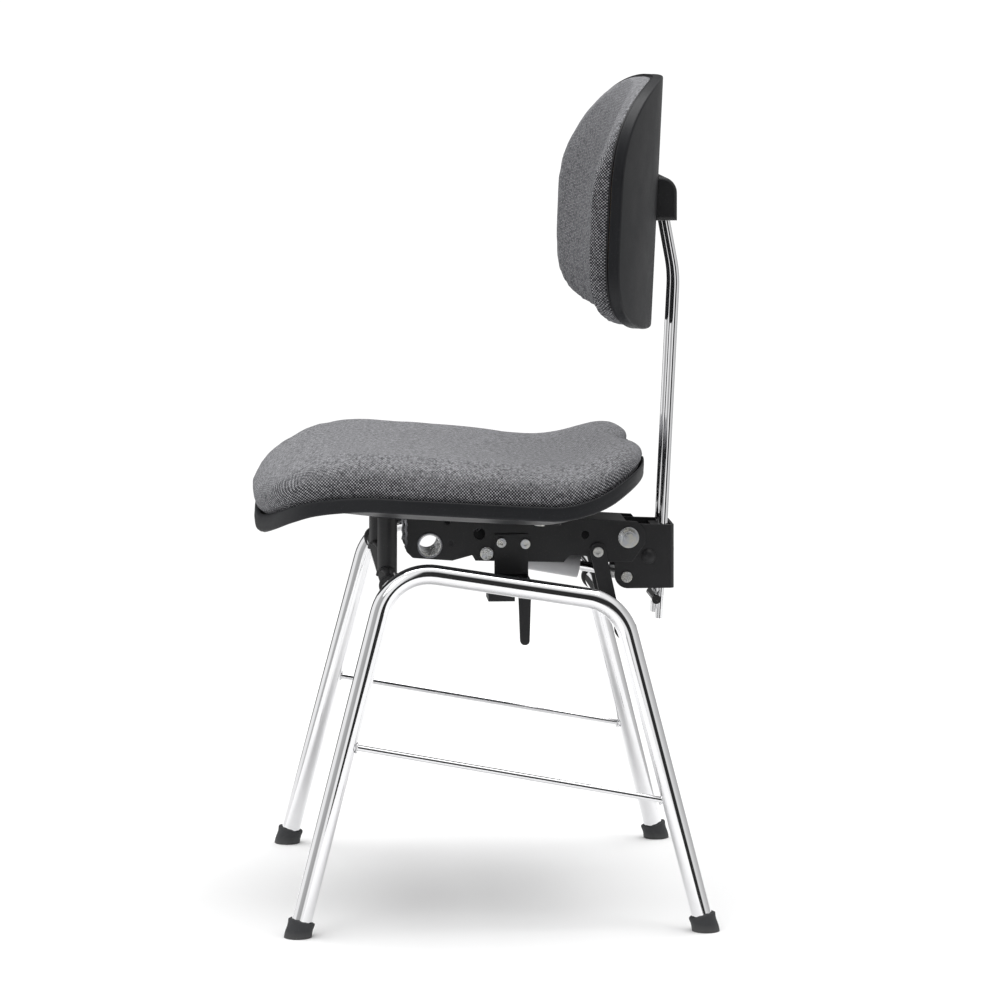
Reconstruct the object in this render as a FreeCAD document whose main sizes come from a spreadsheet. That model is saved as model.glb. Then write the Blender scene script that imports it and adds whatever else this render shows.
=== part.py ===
import FreeCAD, Part
import math
import os

import Sketcher

# Musician's chair: four splayed tube legs, a sheet-steel mechanism under a padded seat, and a padded
# backrest on two rods that tilts against a lockable gas spring.
# Millimetres, +Z up, the sitter faces -Y, +X is the sitter's left. The origin is on the floor, under
# the middle of the chair's box.

Vec = FreeCAD.Vector
doc = FreeCAD.newDocument("musician_chair")
sheet = doc.addObject("Spreadsheet::Sheet", "sizes")
pieces = []
X_AXIS = Vec(1, 0, 0)
Y_AXIS = Vec(0, 1, 0)
Z_AXIS = Vec(0, 0, 1)

SIZES = {
    # side frames: one bent tube a side, an upside-down U in a plane that leans inwards
    "tube_radius": 10.0,
    "tube_bore": 8.4,
    "bend_radius": 50.0,
    "floor_half_width": 225.4,
    "splay_angle": 4.574,
    "leg_end_height": 5.0,
    "front_foot_y": -182.4,
    "rear_foot_y": 219.9,
    "front_corner_y": -89.9,
    "front_corner_z": 358.3,
    "rear_corner_y": 138.3,
    "rear_corner_z": 322.1,
    "foot_radius": 13.6,
    "foot_height": 23.0,
    # cross bars and stretchers
    "bar_radius": 9.0,
    "front_bar_y": -90.3,
    "front_bar_z": 338.0,
    "rear_bar_y": 145.6,
    "rear_bar_z": 293.0,
    "collar_radius": 11.2,
    "collar_width": 9.0,
    "collar_x": 175.0,
    "stretcher_radius": 3.0,
    "stretcher_front_z": 185.0,
    "stretcher_rear_z": 126.0,
    # mechanism under the seat
    "seat_plane_y": -67.0,
    "seat_plane_z": 395.3,
    "seat_angle": 3.5,
    "post_radius": 10.0,
    "post_x": 100.0,
    "post_y": -89.5,
    "bridge_thickness": 5.0,
    "channel_half_width": 32.0,
    "channel_gauge": 2.5,
    "pivot_y": 164.0,
    "pivot_z": 364.2,
    "through_tube_radius": 10.4,
    "bush_radius": 8.0,
    "pivot_bolt_radius": 5.0,
    "small_bolt_radius": 4.0,
    # backrest carrier, gas spring, lever
    "carrier_half_width": 29.0,
    "carrier_gauge": 2.5,
    "rod_radius": 4.2,
    "rod_x": 22.0,
    "spring_front_y": 16.5,
    "spring_front_z": 349.0,
    "spring_rear_y": 162.3,
    "spring_rear_z": 323.0,
    "cylinder_radius": 13.0,
    "piston_rod_radius": 5.0,
    "lever_x": 80.0,
    "lever_z": 315.5,
    # backrest
    "back_origin_y": 194.0,
    "back_origin_z": 690.0,
    "back_lean": 2.8,
    "hinge_y": 203.6,
    "hinge_z": 712.0,
    "hinge_pin_radius": 3.0,
    "back_curve_radius": 373.0,
    "back_half_width": 195.0,
    "back_half_height": 129.3,
    "back_middle_z": 23.7,
    # seat
    "seat_half_width": 207.0,
    "seat_half_depth": 199.0,
    "seat_middle_y": 40.0,
    "seat_screw_x": 79.0,
    "shell_wall": 3.0,
    "screw_radius": 3.0,
    "board_thickness": 9.0,
}
for row, (alias, value) in enumerate(SIZES.items(), start=1):
    sheet.set("A%d" % row, alias)
    sheet.set("B%d" % row, "%g" % value)
    sheet.setAlias("B%d" % row, alias)
doc.recompute()


def size(alias):
    """The number in the sheet under this alias."""
    return float(sheet.get(alias))


def bind(obj, **formulas):
    """Bind properties of an object to formulas over the sheet's aliases."""
    for prop, formula in formulas.items():
        obj.setExpression(prop, formula)


def piece(obj, label):
    """Keep an object as a separate piece of the chair, under its own name."""
    obj.Label = label
    pieces.append(obj)
    return obj


# ---- Part primitives ---------------------------------------------------------------------------

def cylinder(radius, start, end):
    """A cylinder of a bound radius from one point to another."""
    obj = doc.addObject("Part::Cylinder", "cylinder")
    if isinstance(radius, str):
        bind(obj, Radius=radius)
    else:
        obj.Radius = radius
    axis = Vec(*end) - Vec(*start)
    obj.Height = axis.Length
    obj.Placement = FreeCAD.Placement(Vec(*start), FreeCAD.Rotation(Z_AXIS, axis))
    return obj


def box(low, high):
    """A box between its lowest and highest corners."""
    obj = doc.addObject("Part::Box", "box")
    obj.Length, obj.Width, obj.Height = Vec(*high) - Vec(*low)
    obj.Placement.Base = Vec(*low)
    return obj


def fuse(*shapes):
    obj = doc.addObject("Part::MultiFuse", "fuse")
    obj.Shapes = list(shapes)
    return obj


def cut(base, *tools):
    obj = doc.addObject("Part::Cut", "cut")
    obj.Base = base
    obj.Tool = tools[0] if len(tools) == 1 else fuse(*tools)
    return obj


def common(base, tool):
    obj = doc.addObject("Part::MultiCommon", "common")
    obj.Shapes = [base, tool]
    return obj


def mirrored(source):
    """The same piece on the other side of the chair's middle plane."""
    obj = doc.addObject("Part::Mirroring", "mirrored")
    obj.Source = source
    obj.Base = Vec(0, 0, 0)
    obj.Normal = X_AXIS
    return obj


def group(*shapes):
    """Separate solids kept under one name."""
    obj = doc.addObject("Part::Compound", "group")
    obj.Links = list(shapes)
    return obj


def solid(shape, place=None):
    """A freely curved piece, made with Part's own functions."""
    obj = doc.addObject("Part::Feature", "solid")
    obj.Shape = shape
    if place is not None:
        obj.Placement = place
    return obj


def tube(outer, bore, start, end):
    return cut(cylinder(outer, start, end), cylinder(bore, start, end))


# ---- PartDesign bodies --------------------------------------------------------------------------

def new_body():
    return doc.addObject("PartDesign::Body", "body")


def sketch_on(body, role, offset=None):
    """An empty sketch on one of the body's own origin planes."""
    plane = next(f for f in body.Origin.OriginFeatures if f.Role == role)
    sketch = body.newObject("Sketcher::SketchObject", "sketch")
    sketch.AttachmentSupport = [(plane, "")]
    sketch.MapMode = "FlatFace"
    if offset is not None:
        sketch.AttachmentOffset = offset
    return sketch


def value_of(entry):
    return size(entry) if isinstance(entry, str) else float(entry)


def outline(sketch, corners):
    """A closed outline. Each corner is placed from the sketch's origin, by an alias or a number."""
    spots = [Vec(value_of(a), value_of(b), 0) for a, b in corners]
    count = len(spots)
    for i in range(count):
        sketch.addGeometry(Part.LineSegment(spots[i], spots[(i + 1) % count]), False)
    for i in range(count):
        sketch.addConstraint(Sketcher.Constraint("Coincident", i, 2, (i + 1) % count, 1))
    for i, corner in enumerate(corners):
        for kind, entry in zip(("DistanceX", "DistanceY"), corner):
            index = sketch.addConstraint(Sketcher.Constraint(kind, -1, 1, i, 1, value_of(entry)))
            if isinstance(entry, str):
                sketch.setExpression("Constraints[%d]" % index, "sizes." + entry)


def circle(sketch, centre, radius):
    """A circle at a numbered centre, with its radius bound to an alias or a number."""
    index = sketch.addGeometry(Part.Circle(Vec(centre[0], centre[1], 0), Z_AXIS, value_of(radius)), False)
    sketch.addConstraint(Sketcher.Constraint("DistanceX", -1, 1, index, 3, centre[0]))
    sketch.addConstraint(Sketcher.Constraint("DistanceY", -1, 1, index, 3, centre[1]))
    number = sketch.addConstraint(Sketcher.Constraint("Radius", index, value_of(radius)))
    if isinstance(radius, str):
        sketch.setExpression("Constraints[%d]" % number, "sizes." + radius)


def pad(body, sketch, length, middle=True):
    feature = body.newObject("PartDesign::Pad", "pad")
    feature.Profile = sketch
    if isinstance(length, str):
        feature.setExpression("Length", length)
    else:
        feature.Length = length
    feature.Midplane = middle
    doc.recompute()
    return feature


def pocket_through(body, sketch, length=None):
    """A pocket both ways from the middle plane: all through, or over a width."""
    before = body.Shape.Volume
    feature = body.newObject("PartDesign::Pocket", "pocket")
    feature.Profile = sketch
    feature.Midplane = True
    if length is None:
        feature.Type = 1
    elif isinstance(length, str):
        feature.setExpression("Length", length)
    else:
        feature.Length = length
    doc.recompute()
    assert body.Shape.Volume < before - 1, "a pocket cut nothing"
    return feature


def fillet(body, radius, chosen):
    """Round the edges of the body's newest feature that a test picks."""
    base = body.Tip
    names = ["Edge%d" % (i + 1) for i, edge in enumerate(base.Shape.Edges) if chosen(edge)]
    assert names, "no edge to round"
    feature = body.newObject("PartDesign::Fillet", "fillet")
    feature.Base = (base, names)
    feature.Radius = radius
    doc.recompute()
    return feature


def along(axis, *spots, reach=1.0):
    """Test for straight edges along an axis that pass near one of the spots given."""
    def chosen(edge):
        if edge.Curve.TypeId != "Part::GeomLine" or abs(abs(edge.Curve.Direction.dot(axis)) - 1) > 1e-6:
            return False
        middle = edge.CenterOfMass
        flat = middle - axis * middle.dot(axis)
        return any((flat - Vec(*spot)).Length < reach for spot in spots)
    return chosen


# ---- side frames --------------------------------------------------------------------------------

splay = math.radians(size("splay_angle"))
frame_place = FreeCAD.Placement(
    Vec(size("floor_half_width"), 0, 0), FreeCAD.Rotation(Y_AXIS, -size("splay_angle"))
)


def frame_x(height):
    """How far out the side frame's middle line stands at a height above the floor."""
    return size("floor_half_width") - math.tan(splay) * height


def leg_path():
    """Corners of the bent tube's middle line in its own leaning plane: y, and height along it."""
    corners = [
        (size("front_foot_y"), size("leg_end_height")),
        (size("front_corner_y"), size("front_corner_z")),
        (size("rear_corner_y"), size("rear_corner_z")),
        (size("rear_foot_y"), size("leg_end_height")),
    ]
    return [Vec(y, z / math.cos(splay), 0) for y, z in corners]


def rounded(points, radius):
    """Lines joined by tangent arcs: each corner is replaced by an arc of the radius."""
    shapes = []
    start = points[0]
    for before, corner, after in zip(points, points[1:], points[2:]):
        back = (before - corner).normalize()
        ahead = (after - corner).normalize()
        half = back.getAngle(ahead) / 2
        reach = radius / math.tan(half)
        middle = corner + (back + ahead).normalize() * (radius / math.sin(half))
        first = corner + back * reach
        last = corner + ahead * reach
        inner = middle + (corner - middle).normalize() * radius
        shapes.append(Part.LineSegment(start, first))
        shapes.append(Part.Arc(first, inner, last))
        start = last
    shapes.append(Part.LineSegment(start, points[-1]))
    return shapes


def bend_middle(before, corner, after):
    """The centre of the arc that rounds a corner of the tube, in the leaning plane."""
    back = (before - corner).normalize()
    ahead = (after - corner).normalize()
    return corner + (back + ahead).normalize() * (size("bend_radius") / math.sin(back.getAngle(ahead) / 2))


def side_frame():
    """A hollow tube bent into an upside-down U: a ring carried along lines and tangent arcs."""
    body = new_body()
    points = leg_path()
    spine = sketch_on(body, "YZ_Plane")
    runs = rounded(points, size("bend_radius"))
    for run in runs:
        spine.addGeometry(run, False)
    # a sketch keeps its arcs anticlockwise, so these clockwise bends begin at their point 2
    bends = (1, 3)
    for i in range(len(runs) - 1):
        end = 1 if i in bends else 2
        start = 2 if i + 1 in bends else 1
        spine.addConstraint(Sketcher.Constraint("Coincident", i, end, i + 1, start))
    for i in bends:
        index = spine.addConstraint(Sketcher.Constraint("Radius", i, size("bend_radius")))
        spine.setExpression("Constraints[%d]" % index, "sizes.bend_radius")
    lean = math.degrees(math.atan2(points[1].x - points[0].x, points[1].y - points[0].y))
    place = FreeCAD.Placement(Vec(0, points[0].x, points[0].y), FreeCAD.Rotation(X_AXIS, -lean))
    ring = sketch_on(body, "XY_Plane", place)
    circle(ring, (0, 0), "tube_radius")
    circle(ring, (0, 0), "tube_bore")
    doc.recompute()
    pipe = body.newObject("PartDesign::AdditivePipe", "pipe")
    pipe.Profile = ring
    pipe.Spine = (spine, ["Edge%d" % (i + 1) for i in range(len(runs))])
    pipe.Mode = "Binormal"
    pipe.Binormal = X_AXIS
    doc.recompute()
    body.Placement = frame_place
    doc.recompute()
    return body


left_frame = piece(side_frame(), "left_side_frame")
piece(mirrored(left_frame), "right_side_frame")

FRONT_LEG = ("front_foot_y", "front_corner_y", "front_corner_z")
REAR_LEG = ("rear_foot_y", "rear_corner_y", "rear_corner_z")
AROUND_TUBE = "sizes.tube_radius + 0.03"


def leg_y(leg, height):
    """Where a leg's middle line is along Y at a height above the floor."""
    foot_y, corner_y, corner_z = (size(alias) for alias in leg)
    end = size("leg_end_height")
    return foot_y + (corner_y - foot_y) * (height - end) / (corner_z - end)


def leg_point(leg, height):
    return (frame_x(height), leg_y(leg, height), height)


def leg_form(leg):
    """The straight stretch of a leg as a solid bar, for shaping what meets it."""
    return cylinder(AROUND_TUBE, leg_point(leg, size("leg_end_height")), leg_point(leg, size(leg[2])))


def bend_form(index):
    """A bend of the tube as a solid ring, for shaping what meets it."""
    points = leg_path()
    middle = bend_middle(*points[index - 1:index + 2])
    ring = doc.addObject("Part::Torus", "ring")
    bind(ring, Radius1="sizes.bend_radius", Radius2=AROUND_TUBE)
    upright = FreeCAD.Placement(Vec(0, middle.x, middle.y), FreeCAD.Rotation(Z_AXIS, X_AXIS))
    ring.Placement = frame_place.multiply(upright)
    return ring


def foot(leg):
    """A rubber cap: a round sleeve along the leg, flat on the floor, with the tube's end sunk in it."""
    toe = Vec(*leg_point(leg, 0))
    along_leg = (Vec(*leg_point(leg, size(leg[2]))) - toe).normalize()
    low = toe - along_leg * 12
    top = toe + along_leg * size("foot_height")
    sleeve = cylinder("sizes.foot_radius", tuple(low), tuple(top))
    under = box((toe.x - 40, toe.y - 40, -40), (toe.x + 40, toe.y + 40, 0))
    return cut(cut(sleeve, under), leg_form(leg))


for leg, name in ((FRONT_LEG, "front"), (REAR_LEG, "rear")):
    left_foot = piece(foot(leg), "%s_left_foot" % name)
    piece(mirrored(left_foot), "%s_right_foot" % name)


def cross_bar(y, z, forms, label):
    """A round bar between the side frames, its ends shaped to the tubes."""
    reach = frame_x(z) - 1
    shaped = cylinder("sizes.bar_radius", (-reach, y, z), (reach, y, z))
    for form in forms:
        shaped = cut(cut(shaped, form), mirrored(form))
    return piece(shaped, label)


FRONT_BAR = (size("front_bar_y"), size("front_bar_z"))
REAR_BAR = (size("rear_bar_y"), size("rear_bar_z"))
cross_bar(*FRONT_BAR, [bend_form(1)], "front_cross_bar")
cross_bar(*REAR_BAR, [bend_form(2), leg_form(REAR_LEG)], "rear_cross_bar")

collars = []
for y, z in (FRONT_BAR, REAR_BAR):
    inner = size("collar_x")
    outer = inner + size("collar_width")
    ring = tube("sizes.collar_radius", "sizes.bar_radius", (inner, y, z), (outer, y, z))
    collars += [ring, mirrored(ring)]
piece(group(*collars), "bar_collars")

front_end = leg_point(FRONT_LEG, size("stretcher_front_z"))
rear_end = leg_point(REAR_LEG, size("stretcher_rear_z"))
rod = cylinder("sizes.stretcher_radius", front_end, rear_end)
stretcher = piece(cut(cut(rod, leg_form(FRONT_LEG)), leg_form(REAR_LEG)), "left_stretcher_rod")
piece(mirrored(stretcher), "right_stretcher_rod")

# ---- mechanism under the seat --------------------------------------------------------------------

seat_place = FreeCAD.Placement(
    Vec(0, size("seat_plane_y"), size("seat_plane_z")), FreeCAD.Rotation(X_AXIS, -size("seat_angle"))
)


def seat_plane(y):
    """Height of the sloping plane on which the seat's plates lie."""
    return size("seat_plane_z") - math.tan(math.radians(size("seat_angle"))) * (y - size("seat_plane_y"))


post_top = seat_plane(size("post_y")) + 3
post = cylinder(
    "sizes.post_radius",
    (size("post_x"), size("post_y"), size("front_bar_z")),
    (size("post_x"), size("post_y"), post_top),
)
bar_core = cylinder(
    "sizes.bar_radius",
    (size("post_x") - 30, size("front_bar_y"), size("front_bar_z")),
    (size("post_x") + 30, size("front_bar_y"), size("front_bar_z")),
)
above = box((-160, -60, 0), (160, 60, 30))
above.Placement = seat_place.multiply(above.Placement)
left_post = piece(cut(post, bar_core, above), "left_front_post")
piece(mirrored(left_post), "right_front_post")


FRONT_SCREW_Y = -15.0
REAR_SCREW_Y = 135.0


def bridge(half_width, front_y, rear_y, screw_y, label):
    """A flat steel bar across the mechanism, which the seat is screwed to."""
    body = new_body()
    sketch = sketch_on(body, "XY_Plane")
    outline(sketch, [
        (-half_width, front_y),
        (half_width, front_y),
        (half_width, rear_y),
        (-half_width, rear_y),
    ])
    for side in (-1, 1):
        circle(sketch, (side * size("seat_screw_x"), screw_y), size("screw_radius") + 0.3)
    pad(body, sketch, "sizes.bridge_thickness", middle=False)
    corners = [(sx * half_width, y, 0) for sx in (-1, 1) for y in (front_y, rear_y)]
    fillet(body, 6.0, along(Z_AXIS, *corners))
    body.Placement = seat_place
    return piece(body, label)


bridge(112.0, -38.0, 8.0, FRONT_SCREW_Y, "front_bridge_plate")
bridge(96.0, 124.0, 156.0, REAR_SCREW_Y, "rear_bridge_plate")

channel = new_body()
cheek = sketch_on(channel, "YZ_Plane")
CHEEK_REAR = 173.0
outline(cheek, [
    ("seat_plane_y", "seat_plane_z"),
    (CHEEK_REAR, seat_plane(CHEEK_REAR)),
    (181.5, 371.0),
    (181.5, 358.0),
    (168.0, 339.0),
    (126.0, 338.6),
    (121.0, 345.4),
    (102.0, 345.8),
    (96.5, 339.2),
    (5.0, 341.6),
    (1.5, 347.4),
    (-19.0, 341.9),
    (-60.0, 345.0),
    (-67.0, 352.0),
])
pad(channel, cheek, "2 * sizes.channel_half_width")
fillet(channel, 6.0, along(X_AXIS, (0, 181.5, 371.0), (0, 181.5, 358.0)))
fillet(channel, 6.0, along(X_AXIS, (0, 121.0, 345.4), (0, 102.0, 345.8)))
fillet(channel, 4.0, along(X_AXIS, (0, -60.0, 345.0), (0, -67.0, 352.0)))
hollow = sketch_on(channel, "YZ_Plane")
TOP_WEB_END = 161.5
outline(hollow, [
    (-80.0, seat_plane(-80.0) - size("channel_gauge")),
    (TOP_WEB_END, seat_plane(TOP_WEB_END) - size("channel_gauge")),
    (TOP_WEB_END, 400.0),
    (200.0, 400.0),
    (200.0, 320.0),
    (-80.0, 320.0),
])
pocket_through(channel, hollow, "2 * (sizes.channel_half_width - sizes.channel_gauge)")
holes = sketch_on(channel, "YZ_Plane")
THROUGH_TUBE = (-42.5, 358.0)
circle(holes, THROUGH_TUBE, size("through_tube_radius") + 1.6)
circle(holes, (size("pivot_y"), size("pivot_z")), "pivot_bolt_radius")
circle(holes, (size("spring_front_y"), size("spring_front_z")), "small_bolt_radius")
circle(holes, (9.0, 369.4), 6.2)
circle(holes, (119.0, 367.4), 4.3)
circle(holes, (-24.0, 382.0), 3.0)
circle(holes, (-20.4, 360.0), 3.0)
pocket_through(channel, holes)
piece(channel, "mechanism_channel")

half = size("channel_half_width")
piece(
    tube("sizes.through_tube_radius + 1.6", "sizes.through_tube_radius",
         (-half - 0.6, *THROUGH_TUBE), (half + 0.6, *THROUGH_TUBE)),
    "channel_through_tube",
)


def bolt(radius, y, z, reach, head_radius, head_height):
    """A bolt across the mechanism: a shank between the outer faces and a domed round head."""
    shank = cylinder(radius, (-reach, y, z), (reach, y, z))
    head = cylinder(head_radius, (-reach - head_height, y, z), (-reach, y, z))
    return fuse(shank, head)


def nut(radius, y, z, reach, across, height, flange_radius):
    """A hexagon flange nut on the sitter's left, as a ring around the bolt's end."""
    flange = cylinder(flange_radius, (reach, y, z), (reach + 1.6, y, z))
    hexagon = doc.addObject("Part::Prism", "hexagon")
    hexagon.Polygon = 6
    hexagon.Circumradius = across
    hexagon.Height = height
    hexagon.Placement = FreeCAD.Placement(Vec(reach + 1.6, y, z), FreeCAD.Rotation(Z_AXIS, X_AXIS))
    hole = cylinder(radius, (reach - 1, y, z), (reach + height + 4, y, z))
    return cut(fuse(flange, hexagon), hole)


PIVOT = (size("pivot_y"), size("pivot_z"))
pivot_shank = fuse(
    bolt("sizes.pivot_bolt_radius", *PIVOT, half, 10.0, 4.0),
    cylinder("sizes.pivot_bolt_radius", (half - 1, *PIVOT), (half + 10.5, *PIVOT)),
)
piece(pivot_shank, "pivot_bolt")
piece(nut("sizes.pivot_bolt_radius", *PIVOT, half, 8.3, 7.0, 10.8), "pivot_flange_nut")
bush_reach = half - size("channel_gauge") - 0.1
piece(
    tube("sizes.bush_radius", "sizes.pivot_bolt_radius + 0.05", (-bush_reach, *PIVOT), (bush_reach, *PIVOT)),
    "pivot_bush",
)

SPRING_FRONT = (size("spring_front_y"), size("spring_front_z"))
SPRING_REAR = (size("spring_rear_y"), size("spring_rear_z"))
front_bolt = fuse(
    bolt("sizes.small_bolt_radius", *SPRING_FRONT, half, 6.4, 3.4),
    cylinder("sizes.small_bolt_radius", (half - 1, *SPRING_FRONT), (half + 5.5, *SPRING_FRONT)),
)
piece(front_bolt, "spring_front_bolt")
piece(nut("sizes.small_bolt_radius", *SPRING_FRONT, half, 6.4, 4.0, 6.8), "spring_front_nut")

# link plates: the mechanism's rear supports, from the channel's sides down to the rear cross bar
LINK_TOP = (132.0, 350.0)
LINK_TURN = 12.5
LINK_REACH = 52.0


def link_plate():
    body = new_body()
    sketch = sketch_on(body, "YZ_Plane")
    lean = math.radians(LINK_TURN)

    def spot(across, down):
        """A corner of the strip: across it and down along it from the upper screw."""
        return (
            LINK_TOP[0] + math.cos(lean) * across + math.sin(lean) * down,
            LINK_TOP[1] + math.sin(lean) * across - math.cos(lean) * down,
        )

    foot_y = spot(0, LINK_REACH)[0]
    outline(sketch, [
        spot(-8, -9),
        spot(8, -9),
        spot(8, LINK_REACH),
        (foot_y + 10, size("rear_bar_z")),
        (foot_y - 12, size("rear_bar_z")),
        spot(-8, LINK_REACH),
    ])
    pad(body, sketch, 3.0, middle=False)
    fillet(body, 7.4, along(X_AXIS, (0, *spot(-8, -9)), (0, *spot(8, -9))))
    body.Placement.Base = Vec(half, 0, 0)
    doc.recompute()
    bar = cylinder("sizes.bar_radius + 0.03", (0, *REAR_BAR), (80, *REAR_BAR))
    hole = cylinder("sizes.screw_radius", (half - 2, *LINK_TOP), (half + 8, *LINK_TOP))
    return cut(body, bar, hole)


left_link = piece(link_plate(), "left_link_plate")
piece(mirrored(left_link), "right_link_plate")


def button_screw(start, end, radius, head_radius, head_height):
    """A socket button-head screw: the shank from start to end, the head beyond the end."""
    a, b = Vec(*start), Vec(*end)
    axis = (b - a).normalize()
    head_end = b + axis * head_height
    shank = cylinder(radius, start, tuple(b + axis * 0.5))
    head = cylinder(head_radius, end, tuple(head_end))
    socket = cylinder(radius * 0.7, tuple(head_end - axis * head_height * 0.7), tuple(head_end + axis))
    return cut(fuse(shank, head), socket)


link_bolts = []
for side in (-1, 1):
    link_bolts.append(button_screw(
        (side * (half + 0.1), *LINK_TOP), (side * (half + 3.0), *LINK_TOP), size("screw_radius"), 5.2, 3.0))
piece(group(*link_bolts), "link_screws")

# release unit on the sitter's left: a bent bracket, a block, a paddle on a pin
bracket = new_body()
side_view = sketch_on(bracket, "XZ_Plane")
BRACKET_T = 2.5
FLANGE_TOP = 326.4
FLANGE_END = 96.0
outline(side_view, [
    (half, 369.0),
    (half + BRACKET_T, 369.0),
    (half + BRACKET_T, FLANGE_TOP),
    (FLANGE_END, FLANGE_TOP),
    (FLANGE_END, FLANGE_TOP - BRACKET_T),
    (half, FLANGE_TOP - BRACKET_T),
])
pad(bracket, side_view, 35.0)
fillet(bracket, 3.0, along(Y_AXIS, (half + BRACKET_T, 0, FLANGE_TOP)))
fillet(bracket, 5.4, along(Y_AXIS, (half, 0, FLANGE_TOP - BRACKET_T)))
bracket.Placement.Base = Vec(0, 42.0, 0)
doc.recompute()
wide_flange = box((half + 14, 14.0, FLANGE_TOP - BRACKET_T), (FLANGE_END, 59.5, FLANGE_TOP))
BRACKET_SCREWS = ((31.5, 360.5), (57.0 - 0.6, 359.0))
bracket_holes = [cylinder(2.5, (half - 3, y, z), (half + 5, y, z)) for y, z in BRACKET_SCREWS]
piece(cut(fuse(bracket, wide_flange), *bracket_holes), "lever_bracket")
piece(
    group(*[
        button_screw((half + 0.05, y, z), (half + BRACKET_T, y, z), 2.5, 4.9, 3.2) for y, z in BRACKET_SCREWS
    ]),
    "bracket_screws",
)

BLOCK_LOW = (60.0, 14.0, 308.8)
BLOCK_HIGH = (96.0, 41.0, FLANGE_TOP - BRACKET_T)
LEVER_PIN = (size("lever_x"), size("lever_z"))
block = cut(
    box(BLOCK_LOW, BLOCK_HIGH),
    box((63.0, 17.0, 311.5), (93.0, 29.0, 320.5)),
    cylinder(2.5, (LEVER_PIN[0], 30.0, LEVER_PIN[1]), (LEVER_PIN[0], 45.0, LEVER_PIN[1])),
)
piece(block, "release_block")
piece(box((64.0, 17.2, 311.7), (84.0, 28.8, 320.3)), "cable_slider")
piece(
    cylinder(2.5, (LEVER_PIN[0], 30.0, LEVER_PIN[1]), (LEVER_PIN[0], 60.5, LEVER_PIN[1])),
    "lever_pin",
)
turns = []
for turn in range(3):
    ring = doc.addObject("Part::Torus", "turn")
    ring.Radius1 = 4.6
    ring.Radius2 = 0.5
    ring.Placement = FreeCAD.Placement(
        Vec(LEVER_PIN[0], 42.2 + 1.15 * turn, LEVER_PIN[1]), FreeCAD.Rotation(Z_AXIS, Y_AXIS))
    turns.append(ring)
piece(group(*turns), "lever_spring")

paddle = new_body()
blade = sketch_on(paddle, "YZ_Plane")
PADDLE_FRONT = 45.6
PADDLE_REAR = 58.6
PADDLE_TIP = 262.0
outline(blade, [
    (PADDLE_FRONT, "lever_z"),
    (PADDLE_REAR, "lever_z"),
    (PADDLE_REAR - 1.6, PADDLE_TIP),
    (PADDLE_FRONT + 2.0, PADDLE_TIP),
])
pad(paddle, blade, 6.0)
fillet(paddle, 4.5, along(X_AXIS, (0, PADDLE_REAR - 1.6, PADDLE_TIP), (0, PADDLE_FRONT + 2.0, PADDLE_TIP)))
paddle.Placement.Base = Vec(LEVER_PIN[0] + 0.5, 0, 0)
doc.recompute()
hub = cylinder(5.2, (LEVER_PIN[0], PADDLE_FRONT, LEVER_PIN[1]), (LEVER_PIN[0], PADDLE_REAR, LEVER_PIN[1]))
hub_hole = cylinder(2.55, (LEVER_PIN[0], 40.0, LEVER_PIN[1]), (LEVER_PIN[0], 64.0, LEVER_PIN[1]))
piece(cut(fuse(paddle, hub), hub_hole), "release_lever")

# ---- gas spring ---------------------------------------------------------------------------------

spring_start = Vec(0, *SPRING_FRONT)
spring_end = Vec(0, *SPRING_REAR)
spring_axis = (spring_end - spring_start).normalize()
SPRING_LENGTH = (spring_end - spring_start).Length


def on_spring(distance):
    """A point of the gas spring's axis, at a distance from its front pin."""
    return tuple(spring_start + spring_axis * distance)


CYLINDER_START = 16.0
CYLINDER_END = 100.0
piece(
    cut(
        cylinder("sizes.cylinder_radius", on_spring(CYLINDER_START), on_spring(CYLINDER_END)),
        cylinder("sizes.cylinder_radius - 1.5", on_spring(CYLINDER_START + 4), on_spring(CYLINDER_END + 1)),
    ),
    "gas_spring_cylinder",
)
eye_x = 9.0
front_eye = cut(
    fuse(
        cylinder(8.0, (-eye_x, *SPRING_FRONT), (eye_x, *SPRING_FRONT)),
        cylinder(6.0, on_spring(0), on_spring(CYLINDER_START)),
    ),
    cylinder("sizes.small_bolt_radius + 0.05", (-20, *SPRING_FRONT), (20, *SPRING_FRONT)),
)
piece(front_eye, "gas_spring_front_eye")
piece(
    cut(
        cylinder("sizes.cylinder_radius - 1.5", on_spring(CYLINDER_END - 9), on_spring(CYLINDER_END)),
        cylinder("sizes.piston_rod_radius + 0.05", on_spring(CYLINDER_END - 12), on_spring(CYLINDER_END + 2)),
    ),
    "gas_spring_gland",
)
PISTON_AT = 50.0
ROD_END = SPRING_LENGTH - 9.5
piece(
    cylinder("sizes.piston_rod_radius", on_spring(PISTON_AT), on_spring(ROD_END)),
    "gas_spring_rod",
)
piece(
    cut(
        cylinder("sizes.cylinder_radius - 1.6", on_spring(PISTON_AT - 2), on_spring(PISTON_AT + 8)),
        cylinder("sizes.piston_rod_radius", on_spring(PISTON_AT), on_spring(PISTON_AT + 12)),
    ),
    "gas_spring_piston",
)
OPEN_PIVOT_BORE = 5.9
piece(
    cut(
        fuse(
            cylinder(10.0, (-eye_x, *SPRING_REAR), (eye_x, *SPRING_REAR)),
            cylinder(7.0, on_spring(ROD_END - 7), on_spring(SPRING_LENGTH - 3)),
        ),
        cylinder(OPEN_PIVOT_BORE, (-20, *SPRING_REAR), (20, *SPRING_REAR)),
        cylinder("sizes.piston_rod_radius", on_spring(ROD_END - 20), on_spring(ROD_END)),
    ),
    "gas_spring_rear_eye",
)

# ---- backrest carrier ---------------------------------------------------------------------------

ROD_FOOT = (196.6, 279.0)
ROD_BEND = (214.4, 636.0)
ROD_TOP = (201.6, 706.0)


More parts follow.
